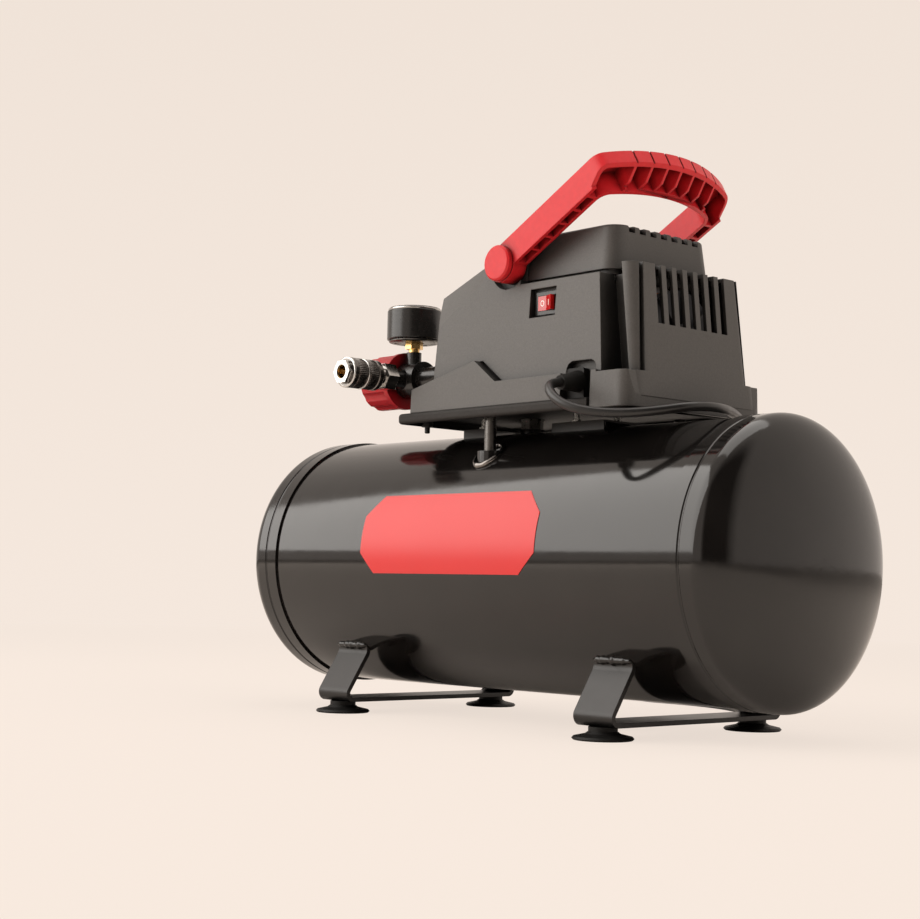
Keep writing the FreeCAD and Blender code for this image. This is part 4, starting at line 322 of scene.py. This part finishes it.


# Where a finish has a corner reach, its colour darkens near corners and recesses as painted shade.
FINISHES = {
    "tank_paint": finish("gloss_black_paint", (0.0060, 0.0050, 0.0045), 0.10, mottle=0.25, mottle_size=0.03,
                         rough_play=0.02, peel=0.000014, peel_size=0.007, grain=0.000004, grain_size=0.0009),
    "bracket_paint": finish("satin_black_paint", (0.016, 0.014, 0.013), 0.36, mottle=0.06, rough_play=0.02,
                            peel=0.000006, peel_size=0.003, soften=0.0006, painted_shade_reach=0.02,
                            specular_ior_level=0.40),
    "plate_red": finish("red_print", (0.63, 0.026, 0.026), 0.30, mottle=0.012, mottle_size=0.05,
                        rough_play=0.01, grain=0.000004, grain_size=0.0007, specular_ior_level=0.40),
    "rubber": finish("black_rubber", (0.005, 0.0045, 0.004), 0.52, mottle=0.2, mottle_size=0.006,
                     grain=0.00004, grain_size=0.0007, specular_ior_level=0.25),
    "pvc": finish("black_lead_sheath", (0.009, 0.008, 0.0075), 0.33, mottle=0.2, mottle_size=0.02,
                  rough_play=0.06, grain=0.00002, grain_size=0.0012),
    "shroud": finish("grained_charcoal_plastic", (0.060, 0.054, 0.049), 0.46, mottle=0.12, mottle_size=0.0011,
                     rough_play=0.08, grain=0.00007, grain_size=0.0008, soften=0.0008, painted_shade_reach=0.034),
    "tray": finish("charcoal_plastic", (0.026, 0.023, 0.021), 0.60, mottle=0.12, mottle_size=0.002,
                   grain=0.00004, grain_size=0.0008, soften=0.0006, painted_shade_reach=0.06, specular_ior_level=0.18),
    "fan": finish("fan_plastic", (0.030, 0.030, 0.032), 0.45, mottle=0.1, grain=0.00003, grain_size=0.001),
    "red": finish("red_plastic", (0.60, 0.016, 0.021), 0.40, mottle=0.05, mottle_size=0.004, rough_play=0.05,
                  grain=0.00003, grain_size=0.0009, soften=0.0008, painted_shade_reach=0.008, specular_ior_level=0.32),
    "knob_red": finish("knob_red", (0.40, 0.008, 0.014), 0.38, mottle=0.06, mottle_size=0.004, grain=0.00003,
                       grain_size=0.0009, soften=0.0006, painted_shade_reach=0.006, specular_ior_level=0.30),
    "switch": finish("red_switch_lens", (0.50, 0.008, 0.008), 0.22, mottle=0.05, rough_play=0.02,
                     coat_weight=0.5, coat_roughness=0.05),
    "zinc": finish("bright_zinc", (0.62, 0.62, 0.60), 0.27, 1.0, mottle=0.10, mottle_size=0.002,
                   rough_play=0.08, grain=0.00001, grain_size=0.0009),
    "aluminium": finish("cast_aluminium", (0.60, 0.60, 0.60), 0.48, 1.0, mottle=0.12, mottle_size=0.004,
                        grain=0.00006, grain_size=0.0009),
    "cup": finish("cup_polymer", (0.20, 0.12, 0.07), 0.45, mottle=0.15, mottle_size=0.003),
    "laminations": finish("steel_laminations", (0.30, 0.29, 0.29), 0.45, 1.0, mottle=0.2, mottle_size=0.006,
                          bands=("X", 0.0010, 0.0001)),
    "windings": finish("enamelled_copper", (0.60, 0.22, 0.09), 0.35, 1.0, mottle=0.25, mottle_size=0.003,
                       bands=("Y", 0.0012, 0.0003)),
    "copper": finish("copper_tube", (0.78, 0.40, 0.26), 0.26, 1.0, mottle=0.12, mottle_size=0.01),
    "brass": finish("brass", (0.80, 0.52, 0.20), 0.22, 1.0, mottle=0.08, mottle_size=0.004, rough_play=0.06,
                    grain=0.000006, grain_size=0.0006),
    "control": finish("black_moulding", (0.008, 0.0072, 0.0065), 0.24, mottle=0.2, mottle_size=0.003,
                      grain=0.00003, grain_size=0.0009, soften=0.0005),
    "dial": finish("white_enamel", (0.86, 0.85, 0.82), 0.35, mottle=0.02),
    "ink": finish("black_ink", (0.012, 0.012, 0.012), 0.5, mottle=0.1),
    "mark": finish("white_ink", (0.88, 0.84, 0.78), 0.45, mottle=0.03),
    "needle": finish("red_enamel", (0.70, 0.03, 0.02), 0.35, mottle=0.04),
    "chrome": finish("bright_chrome", (0.50, 0.49, 0.475), 0.12, 1.0, mottle=0.04, rough_play=0.04,
                     soften=0.0004),
    "dark_chrome": finish("dark_chrome", (0.17, 0.157, 0.147), 0.22, 1.0, mottle=0.15, mottle_size=0.003,
                          rough_play=0.06, soften=0.0004),
    "dull_steel": finish("dull_steel", (0.12, 0.114, 0.108), 0.30, 1.0, mottle=0.10, mottle_size=0.004,
                         rough_play=0.05),
    "lens": finish("clear_lens", (0.97, 0.97, 0.97), 0.05, mottle=0.0, rough_play=0.01,
                   transmission_weight=1.0, ior=1.49),
}

NODE_FINISHES = {
    "tank_paint": "tank_shell tank_head_left tank_head_right tank_bungs",
    "bracket_paint": "foot_bracket_left foot_bracket_right saddle_bracket_left saddle_bracket_right "
                     "cover_screws",
    "plate_red": "tank_decal",
    "rubber": "rubber_feet strain_relief cord_tie",
    "shroud": "main_shroud top_cover",
    "tray": "base_tray",
    "control": "switch_bezel pressure_switch regulator_body gauge_case intake_filter",
    "fan": "cooling_fan",
    "red": "handle handle_pivots",
    "knob_red": "regulator_knob",
    "switch": "switch_rocker",
    "zinc": "tray_bolts head_bolts motor_shaft crank_pin motor_bearings rod_bearing safety_valve_ring "
            "eccentric",
    "dull_steel": "outlet_pipe check_valve",
    "aluminium": "pump_frame cylinder valve_plate cylinder_head piston_rod motor_end_bell motor_rotor "
                 "manifold",
    "cup": "piston_cup",
    "laminations": "motor_stator",
    "windings": "motor_windings",
    "copper": "discharge_tube",
    "brass": "drain_valve_body drain_valve_key safety_valve_body gauge_stem",
    "dial": "gauge_dial",
    "needle": "gauge_needle",
    "chrome": "coupler_body",
    "dark_chrome": "coupler_sleeve",
    "lens": "gauge_lens",
    "pvc": "cord_tube cord_coil",
}


def dress_nodes():
    """Give every CAD node its finish."""
    for key, names in NODE_FINISHES.items():
        for name in names.split():
            for held in nodes[name].material_slots:
                held.material = FINISHES[key]


# Mesh helpers -------------------------------------------------------------------------------------

def piece(name, mesh, body, key, smooth=True):
    """A new visible piece that rides on a body."""
    made = bpy.data.objects.new(name, mesh)
    bpy.context.scene.collection.objects.link(made)
    made.data.materials.append(FINISHES[key])
    for face in mesh.polygons:
        face.use_smooth = smooth
    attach(made, body)
    return made


def skin(name, rings, capped=True):
    """A mesh through closed rings of points, one after the other, with both ends capped or both open."""
    shape = bmesh.new()
    made = [[shape.verts.new(point) for point in ring] for ring in rings]
    count = len(rings[0])
    for near, far in zip(made, made[1:]):
        for index in range(count):
            after = (index + 1) % count
            shape.faces.new((near[index], near[after], far[after], far[index]))
    if capped:
        shape.faces.new(list(reversed(made[0])))
        shape.faces.new(made[-1])
    bmesh.ops.recalc_face_normals(shape, faces=shape.faces)
    mesh = bpy.data.meshes.new(name)
    shape.to_mesh(mesh)
    shape.free()
    return mesh


def merged(name, shapes):
    """One mesh of several."""
    shape = bmesh.new()
    for mesh in shapes:
        shape.from_mesh(mesh)
    made = bpy.data.meshes.new(name)
    shape.to_mesh(made)
    shape.free()
    return made


def box_mesh(name, low, high, turn):
    """A box between two corners, turned by a matrix."""
    shape = bmesh.new()
    bmesh.ops.create_cube(shape, size=1)
    size = Vector(high) - Vector(low)
    middle = (Vector(high) + Vector(low)) / 2
    for vertex in shape.verts:
        corner = Vector((vertex.co.x * size.x, vertex.co.y * size.y, vertex.co.z * size.z)) + middle
        vertex.co = turn @ corner
    mesh = bpy.data.meshes.new(name)
    shape.to_mesh(mesh)
    shape.free()
    return mesh


def touch(node, start, direction):
    """The point and normal where a ray meets a CAD node."""
    hit, place, normal, _ = nodes[node].ray_cast(Vector(start), Vector(direction).normalized())
    if not hit:
        raise RuntimeError(f"nothing of {node} lies along the ray")
    return place, normal


def loop(centre, radius, thick, waver, seed, turn, steps=180, sides=10):
    """Rings of points round a circle, thick at random, as a weld bead is."""
    dice = random.Random(seed)
    phases = [(number, dice.uniform(0, math.tau), waver / number) for number in (3, 5, 8, 13, 21)]
    rings = []
    for step in range(steps):
        angle = math.tau * step / steps
        size = thick * (1 + sum(part * math.sin(number * angle + phase) for number, phase, part in phases))
        out = Vector((math.cos(angle), math.sin(angle), 0))
        ring = []
        for side in range(sides):
            around = math.tau * side / sides
            offset = out * (radius + size * math.cos(around)) + Vector((0, 0, size * math.sin(around)))
            ring.append(turn @ offset + Vector(centre))
        rings.append(ring)
    return rings + rings[:1]


# The lead -----------------------------------------------------------------------------------------

def moved(turns, start):
    """How much of a move in the coil is done: 0 before its start, 1 after its end and smooth between."""
    part = min(1, max(0, (turns - start) / COIL_MOVE))
    return part * part * (3 - 2 * part)


def coil_points():
    """The coil's turns, clockwise from the lead: inwards on the floor, then outwards on top of them."""
    # The spline cuts inside its control points, so they stand a little outside the turns.
    swell = 1 / (0.75 + 0.25 * math.cos(math.tau / COIL_STEPS))
    wide = 2 * CORD_RADIUS
    points = []
    for step in range(1, int(COIL_TURNS * COIL_STEPS) + 1):
        turns = step / COIL_STEPS
        inward = sum(moved(turns, start) for start in COIL_INWARD)
        outward = sum(moved(turns, start) for start in COIL_OUTWARD)
        radius = (COIL_MIDDLE + wide * (1 - inward + outward)) * swell
        angle = -math.pi / 2 - math.tau * turns
        points.append((COIL_CENTRE[0] + radius * math.cos(angle), COIL_CENTRE[1] + radius * math.sin(angle),
                       CORD_RADIUS + wide * moved(turns, COIL_UP)))
    return points


def plug():
    """The moulded plug, with its flex relief, its waisted grip and its brass pins."""
    low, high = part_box("power_plug")
    across = (low.y + high.y) / 2 / MM
    level = (low.z + high.z) / 2 / MM
    wide = (high.y - low.y) / 2 / MM
    tall = (high.z - low.z) / 2 / MM
    start = low.x / MM
    grip = [(reach, wide - narrower, tall - lower) for reach, narrower, lower in PLUG_GRIP]
    rings = []
    for reach, half_width, half_height in (*PLUG_RELIEF, *grip):
        power = GRIP_POWER if reach > PLUG_RELIEF_END else RELIEF_POWER
        ring = []
        for step in range(PLUG_STEPS):
            angle = math.tau * step / PLUG_STEPS
            cosine = math.cos(angle)
            sine = math.sin(angle)
            aside = half_width * math.copysign(abs(cosine) ** power, cosine)
            above = half_height * math.copysign(abs(sine) ** power, sine)
            ring.append(Vector((start + reach, across + aside, level + above)) * MM)
        rings.append(ring)
    body = skin("plug_body", rings)
    pins = []
    for side in (-1, 1):
        blade = across + side * BLADE_ASIDE
        outline = []
        for reach, ease in BLADE_SECTIONS:
            half_thick = BLADE_HALF_THICK - BLADE_THINNING * ease
            half_tall = BLADE_HALF_TALL - ease
            outline.append([Vector((start + reach, blade + aside * half_thick,
                                    level + BLADE_RISE + above * half_tall)) * MM
                            for aside, above in BLADE_OUTLINE])
        pins.append(skin("plug_blade", outline))
    outline = []
    for reach, size in EARTH_SECTIONS:
        outline.append([Vector((start + reach, across + size * math.cos(angle),
                                level - EARTH_DROP + size * math.sin(angle))) * MM
                        for angle in [math.tau * step / EARTH_STEPS for step in range(EARTH_STEPS)]])
    pins.append(skin("plug_earth", outline))
    shape = bmesh.new()
    shape.from_mesh(body)
    moulded = len(shape.faces)
    for pin in pins:
        shape.from_mesh(pin)
    shape.faces.ensure_lookup_table()
    for face in shape.faces[moulded:]:
        face.material_index = 1
    mesh = bpy.data.meshes.new("plug")
    shape.to_mesh(mesh)
    shape.free()
    made = piece("moulded_plug", mesh, "compressor", "pvc")
    mesh.materials.append(FINISHES["brass"])
    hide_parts("power_plug")
    return made


def lead():
    """The mains lead, one smooth line from its boot to its plug, with its coil and plug."""
    plug_low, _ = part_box("power_plug")
    across = COIL_CENTRE[1] + COIL_MIDDLE + 2 * CORD_RADIUS
    level = 3 * CORD_RADIUS
    tail = [(place, across, level) for place in (COIL_CENTRE[0] + TAIL_START, plug_low.x / MM - TAIL_BEFORE,
                                                 plug_low.x / MM + TAIL_INSIDE)]
    route = [CORD_START] + CORD_ROUTE + coil_points() + tail
    curve = bpy.data.curves.new("mains_lead", "CURVE")
    curve.dimensions = "3D"
    spline = curve.splines.new("NURBS")
    spline.points.add(len(route) - 1)
    for point, place in zip(spline.points, route):
        point.co = (*(Vector(place) * MM), 1)
    spline.order_u = 3
    spline.use_endpoint_u = True
    spline.resolution_u = 6
    curve.bevel_depth = CORD_RADIUS * MM
    curve.bevel_resolution = 6
    curve.use_fill_caps = True
    cable = bpy.data.objects.new("mains_lead", curve)
    bpy.context.scene.collection.objects.link(cable)
    curve.materials.append(FINISHES["pvc"])
    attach(cable, "compressor")
    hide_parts("cord_tube", "cord_coil")
    plug()


# Details ------------------------------------------------------------------------------------------

def along(axis, point):
    """A turn of local Z onto an axis, moved to a point in millimetres."""
    turn = {"x": Matrix.Rotation(math.pi / 2, 4, "Y"), "y": Matrix.Rotation(-math.pi / 2, 4, "X"),
            "z": Matrix.Identity(4)}[axis]
    return Matrix.Translation(Vector(point) * MM) @ turn


def lathe(name, place, profile, steps=96, teeth=0, tooth=0.0):
    """A turned ring from (radius, height) pairs in millimetres, its outermost part cut into teeth."""
    widest = max(radius for radius, _ in profile)
    rings = []
    for radius, height in profile:
        ring = []
        for step in range(steps):
            angle = math.tau * step / steps
            size = radius
            if teeth and radius > widest - 0.01:
                size -= tooth * (0.5 + 0.5 * math.cos(teeth * angle))
            ring.append(place @ (Vector((size * math.cos(angle), size * math.sin(angle), height)) * MM))
        rings.append(ring)
    rings.append(rings[0])
    return skin(name, rings, capped=False)


def collar(name, place, inner, outer, low, high, ease=0.25, **more):
    """A turned ring with eased edges."""
    return lathe(name, place, [(inner, low), (outer - ease, low), (outer, low + ease), (outer, high - ease),
                               (outer - ease, high), (inner, high)], **more)


def bead(name, start, end, thick, seed, sides=10, steps=26):
    """A weld bead between two points in millimetres, with a rippled, uneven back."""
    dice = random.Random(seed)
    phases = [(number, dice.uniform(0, math.tau)) for number in (5, 9, 14)]
    start, end = Vector(start), Vector(end)
    line = (end - start).normalized()
    first = line.orthogonal().normalized()
    second = line.cross(first)
    rings = []
    for step in range(steps + 1):
        part = step / steps
        swell = min(1, BEAD_TAPER * part, BEAD_TAPER * (1 - part))
        size = thick * (BEAD_END_SHARE + (1 - BEAD_END_SHARE) * swell)
        size *= 1 + BEAD_RIPPLE * sum(math.sin(number * math.pi * part + phase) for number, phase in phases)
        middle = start.lerp(end, part)
        rings.append([(middle + size * (first * math.cos(math.tau * side / sides)
                                        + second * math.sin(math.tau * side / sides))) * MM
                      for side in range(sides)])
    return skin(name, rings)


def rocker_marks():
    """The ring and the bar on the rocker, each a little proud of its face."""
    for name, (across, wide, tall, band) in ROCKER_MARKS.items():
        place, normal = touch("switch_rocker", (across * MM, -0.2, ROCKER_MARK_LEVEL * MM), (0, 1, 0))
        face = Matrix.Translation(place) @ normal.to_track_quat("Z", "Y").to_matrix().to_4x4()
        levels = [(0, -MARK_DEPTH), (0, MARK_RISE)]
        if band:
            levels += [(band, MARK_RISE), (band, -MARK_DEPTH)]
        rings = []
        for inset, height in levels:
            ring = []
            for step in range(MARK_STEPS):
                angle = math.tau * step / MARK_STEPS
                aside = (wide - inset) * math.cos(angle)
                if not band:
                    squared = min(wide, abs(BAR_SQUARENESS * wide * math.cos(angle)))
                    aside = math.copysign(squared, math.cos(angle))
                ring.append(face @ (Vector((aside, (tall - inset) * math.sin(angle), height)) * MM))
            rings.append(ring)
        if band:
            rings.append(rings[0])
        piece(name, skin(name, rings, capped=not band), "rocker", "mark", False)


def gauge_slot(base, number, level):
    """One curved dark slot in the gauge's back."""
    rings = []
    for step in range(SLOT_STEPS + 1):
        angle = math.tau * (number + SLOT_START + SLOT_LENGTH * step / SLOT_STEPS) / SLOT_COUNT
        swell = SLOT_HALF_WIDTH * math.sqrt(max(0.05, 1 - (2 * step / SLOT_STEPS - 1) ** 2))
        ring = []
        for side in range(SLOT_SIDES):
            turn = math.tau * side / SLOT_SIDES
            radius = SLOT_RADIUS + swell * math.cos(turn)
            height = level + SLOT_HALF_DEPTH * math.sin(turn)
            ring.append(base @ (Vector((radius * math.cos(angle), radius * math.sin(angle), height)) * MM))
        rings.append(ring)
    return skin("gauge_slot", rings)


def gauge_number(base, number, face):
    """One number of the gauge's scale."""
    angle = math.radians(SCALE_START - SCALE_SWEEP * number / SCALE_END)
    letters = bpy.data.curves.new("number", "FONT")
    letters.body = str(number)
    letters.size = NUMBER_SIZE * MM
    letters.extrude = NUMBER_THICK * MM
    letters.align_x = "CENTER"
    letters.align_y = "CENTER"
    holder = bpy.data.objects.new("number", letters)
    shape = bpy.data.meshes.new_from_object(holder)
    place = Vector((NUMBER_RADIUS * math.cos(angle), NUMBER_RADIUS * math.sin(angle), face + NUMBER_LIFT))
    shape.transform(base @ Matrix.Translation(place * MM))
    bpy.data.objects.remove(holder)
    bpy.data.curves.remove(letters)
    return shape


def gauge_details():
    """The gauge's rim, its slotted back and its scale with plain numbers."""
    low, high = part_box("gauge_case")
    base = along("z", ((low.x + high.x) / 2 / MM, (low.y + high.y) / 2 / MM, 0))
    top = high.z / MM
    bottom = low.z / MM
    rim = collar("gauge_rim", base, *RIM_RADII, top - CASE_LAP, top + RIM_RISE)
    piece("gauge_rim", rim, "compressor", "chrome")
    back = collar("gauge_back", base, *BACK_RADII, bottom - BACK_DEPTH, bottom - CASE_LAP, BACK_EASE)
    piece("gauge_back", back, "compressor", "dull_steel")
    slots = [gauge_slot(base, number, bottom - BACK_DEPTH - SLOT_PROUD) for number in range(SLOT_COUNT)]
    piece("gauge_slots", merged("gauge_slots", slots), "compressor", "control")
    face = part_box("gauge_needle")[0].z / MM - DIAL_UNDER_NEEDLE
    shapes = []
    for number in range(TICKS + 1):
        angle = math.radians(SCALE_START - SCALE_SWEEP * number / TICKS)
        inner, half = LONG_TICK if number % 5 == 0 else SHORT_TICK
        shapes.append(box_mesh("tick", (inner * MM, -half * MM, face * MM),
                               (TICK_OUTER * MM, half * MM, (face + TICK_HEIGHT) * MM),
                               base @ Matrix.Rotation(angle, 4, "Z")))
    for number in range(0, SCALE_END + 1, 2):
        shapes.append(gauge_number(base, number, face))
    piece("gauge_scale", merged("gauge_scale", shapes), "compressor", "ink", False)


def coupler_details():
    """The sleeve's knurling and bright rings, and the brass lining of the bore."""
    low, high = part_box("coupler_sleeve")
    base = along("y", ((low.x + high.x) / 2 / MM, 0, (low.z + high.z) / 2 / MM))
    front = low.y / MM
    for number, (start, end) in enumerate(KNURL_RUNS):
        name = f"sleeve_knurl_{number}"
        shape = collar(name, base, SLEEVE_SEAT, KNURL_RADIUS, front + start, front + end, 0.4,
                       steps=KNURL_STEPS, teeth=KNURL_TEETH, tooth=KNURL_DEPTH)
        piece(name, shape, "sleeve", "dark_chrome")
    for number, (start, end) in enumerate(BAND_RUNS):
        name = f"sleeve_ring_{number}"
        shape = collar(name, base, SLEEVE_SEAT, BAND_RADIUS, front + start, front + end, 0.35)
        piece(name, shape, "sleeve", "chrome")
    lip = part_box("coupler_body")[0].y / MM
    start, end = LINING_RUN
    lining = collar("bore_lining", base, *LINING_RADII, lip + start, lip + end, 0.05)
    piece("bore_lining", lining, "compressor", "brass")


def strap_welds():
    """The beads that join the foot straps to the tank."""
    shapes = []
    for number, node in enumerate(("foot_bracket_left", "foot_bracket_right")):
        low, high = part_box(node)
        for side in (-1, 1):
            outside = (low.x / 2 + high.x / 2, side * 0.2, high.z - STRAP_EDGE * MM)
            place, _ = touch(node, outside, (0, -side, 0))
            across = place.y / MM + side * STRAP_BEAD_OUT
            level = place.z / MM + STRAP_BEAD_UP
            shapes.append(bead("strap_bead", (low.x / MM + STRAP_BEAD_INSET, across, level),
                               (high.x / MM - STRAP_BEAD_INSET, across, level), STRAP_BEAD_THICK,
                               7 * number + side))
    piece("strap_welds", merged("strap_welds", shapes), "compressor", "tank_paint")


def tank_welds():
    """The bead round the outlet pipe's foot, and the seams of the tank's two ends."""
    low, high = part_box("tank_shell")
    centre_z = (low.z + high.z) / 2
    size = (high.z - low.z) / 2
    dice = random.Random(5)
    phases = [(number, dice.uniform(0, math.tau)) for number in (2, 5, 9)]
    rings = []
    for step in range(OUTLET_BEAD_STEPS + 1):
        angle = math.tau * step / OUTLET_BEAD_STEPS
        out = Vector((math.cos(angle), math.sin(angle), 0))
        waver = BEAD_WAVER * sum(math.sin(number * angle + phase) for number, phase in phases)
        thick = OUTLET_BEAD_THICK * MM * (1 + waver)
        foot = Vector((*OUTLET_FOOT, 0)) * MM + out * OUTLET_BEAD_RADIUS * MM
        foot.z = centre_z + math.sqrt(size ** 2 - foot.y ** 2) + OUTLET_BEAD_LIFT * MM
        rings.append([foot + thick * (out * math.cos(turn) + Vector((0, 0, math.sin(turn))))
                      for turn in [math.tau * side / OUTLET_BEAD_SIDES for side in range(OUTLET_BEAD_SIDES)]])
    piece("outlet_weld", skin("outlet_weld", rings, capped=False), "compressor", "dark_chrome")
    turn = Matrix.Rotation(math.pi / 2, 3, "Y")
    for number, end in enumerate((low.x, high.x)):
        name = f"tank_seam_{number}"
        rings = loop((end, 0, centre_z), size - SEAM_INSET * MM, SEAM_THICK * MM, BEAD_WAVER, 11 + number,
                     turn)
        piece(name, skin(name, rings, capped=False), "compressor", "tank_paint")


# Stage --------------------------------------------------------------------------------------------

def reckon(tree, links, operation, *values, kind="ShaderNodeMath"):
    """The number that a Math or Vector Math node gives. Each value is a socket, a number or a vector."""
    made = tree.new(kind)
    made.operation = operation
    for number, value in enumerate(values):
        if isinstance(value, bpy.types.NodeSocket):
            links.new(value, made.inputs[number])
        else:
            made.inputs[number].default_value = value
    return made.outputs["Value"]


def seen_rays(tree, links):
    """1 for a ray from the camera, a mirror or a lens, and 0 for a ray that only brings light."""
    path = tree.new("ShaderNodeLightPath")
    total = path.outputs["Is Camera Ray"]
    for name in ("Is Glossy Ray", "Is Transmission Ray"):
        total = reckon(tree, links, "MAXIMUM", total, path.outputs[name])
    return total


def surround():
    """The world: a pale backdrop to look at, an even light, and a dark side that only gloss shows."""
    world = bpy.data.worlds.new("studio")
    bpy.context.scene.world = world
    world.use_nodes = True
    tree, links = world.node_tree.nodes, world.node_tree.links
    tree.clear()
    place = tree.new("ShaderNodeTexCoord").outputs["Generated"]
    split = tree.new("ShaderNodeSeparateXYZ")
    links.new(place, split.inputs["Vector"])
    seen = tree.new("ShaderNodeBackground")
    height = spread(tree, links, split.outputs["Z"], 0, 1, *BACKDROP_FADE)
    links.new(tint(tree, links, height, PALE_NEAR, PALE_HIGH), seen.inputs["Color"])
    across = reckon(tree, links, "DOT_PRODUCT", place, DARK_ACROSS, kind="ShaderNodeVectorMath")
    aside = reckon(tree, links, "ABSOLUTE", across)
    ahead = reckon(tree, links, "DOT_PRODUCT", place, DARK_TOWARDS, kind="ShaderNodeVectorMath")
    dark = spread(tree, links, aside, DARK_SHARE, 0.0, *DARK_EDGE)
    dark = reckon(tree, links, "MULTIPLY", dark, spread(tree, links, ahead, 0, 1, *DARK_START))
    glossy = tree.new("ShaderNodeLightPath").outputs["Is Glossy Ray"]
    dark = reckon(tree, links, "MULTIPLY", dark, glossy)
    links.new(reckon(tree, links, "SUBTRACT", 1.0, dark), seen.inputs["Strength"])
    light = tree.new("ShaderNodeBackground")
    light.inputs["Color"].default_value = (*LAMP_TINT, 1)
    light.inputs["Strength"].default_value = WORLD_LIGHT
    both = tree.new("ShaderNodeMixShader")
    links.new(seen_rays(tree, links), both.inputs["Fac"])
    links.new(light.outputs["Background"], both.inputs[1])
    links.new(seen.outputs["Background"], both.inputs[2])
    out = tree.new("ShaderNodeOutputWorld")
    links.new(both.outputs["Shader"], out.inputs["Surface"])


def floor():
    """A plain pale floor that fades into the backdrop. Its glow is there for the camera alone."""
    shape = bmesh.new()
    bmesh.ops.create_circle(shape, cap_ends=True, radius=FLOOR_RADIUS, segments=96)
    mesh = bpy.data.meshes.new("floor")
    shape.to_mesh(mesh)
    shape.free()
    made = bpy.data.objects.new("floor", mesh)
    bpy.context.scene.collection.objects.link(made)
    paint = bpy.data.materials.new("pale_floor")
    paint.use_nodes = True
    tree, links = paint.node_tree.nodes, paint.node_tree.links
    tree.clear()
    matt = tree.new("ShaderNodeBsdfDiffuse")
    matt.inputs["Color"].default_value = (*PALE_NEAR, 1)
    glow = tree.new("ShaderNodeEmission")
    glow.inputs["Color"].default_value = (*PALE_NEAR, 1)
    place = tree.new("ShaderNodeTexCoord").outputs["Object"]
    distance = reckon(tree, links, "LENGTH", place, kind="ShaderNodeVectorMath")
    share = spread(tree, links, distance, *GLOW_SHARES, *GLOW_FADE)
    camera_ray = tree.new("ShaderNodeLightPath").outputs["Is Camera Ray"]
    both = tree.new("ShaderNodeMixShader")
    links.new(reckon(tree, links, "MULTIPLY", share, camera_ray), both.inputs["Fac"])
    links.new(matt.outputs["BSDF"], both.inputs[1])
    links.new(glow.outputs["Emission"], both.inputs[2])
    out = tree.new("ShaderNodeOutputMaterial")
    links.new(both.outputs["Shader"], out.inputs["Surface"])
    mesh.materials.append(paint)


def lamp(name, place, aim, size, power, shown=True):
    """A soft square lamp, shown or not in glossy surfaces."""
    light = bpy.data.lights.new(name, "AREA")
    light.shape = "RECTANGLE"
    light.size = size
    light.size_y = size
    light.energy = power
    light.color = LAMP_TINT
    made = bpy.data.objects.new(name, light)
    bpy.context.scene.collection.objects.link(made)
    made.location = place
    made.visible_glossy = shown
    made.rotation_euler = (Vector(aim) - Vector(place)).to_track_quat("-Z", "Y").to_euler()


def camera():
    """A camera at the usual three-quarter view."""
    made = bpy.data.objects.new("camera", bpy.data.cameras.new("camera"))
    bpy.context.scene.collection.objects.link(made)
    made.data.lens = CAMERA_LENS
    made.data.sensor_width = 36
    made.data.clip_start = 0.02
    made.data.clip_end = 200
    forward = Vector((-math.sin(CAMERA_YAW) * math.cos(CAMERA_PITCH),
                      math.cos(CAMERA_YAW) * math.cos(CAMERA_PITCH), math.sin(CAMERA_PITCH)))
    level = Vector((math.cos(CAMERA_YAW), math.sin(CAMERA_YAW), 0))
    upright = level.cross(forward)
    right = level * math.cos(CAMERA_ROLL) + upright * math.sin(CAMERA_ROLL)
    up = -level * math.sin(CAMERA_ROLL) + upright * math.cos(CAMERA_ROLL)
    made.matrix_world = Matrix.Translation(CAMERA_PLACE) @ Matrix((right, up, -forward)).transposed().to_4x4()
    bpy.context.scene.camera = made


camera()
surround()
floor()
lamp("key", (-1.35, -1.85, 1.55), AIM, 2.7, 72)
lamp("side", (2.2, 0.3, 1.4), AIM, 1.9, 19, shown=False)
lamp("top", (0, 0.3, 2.2), AIM, 1.6, 16)
dress_nodes()
lead()
rocker_marks()
gauge_details()
coupler_details()
strap_welds()
tank_welds()

bpy.context.scene.view_settings.view_transform = "Standard"
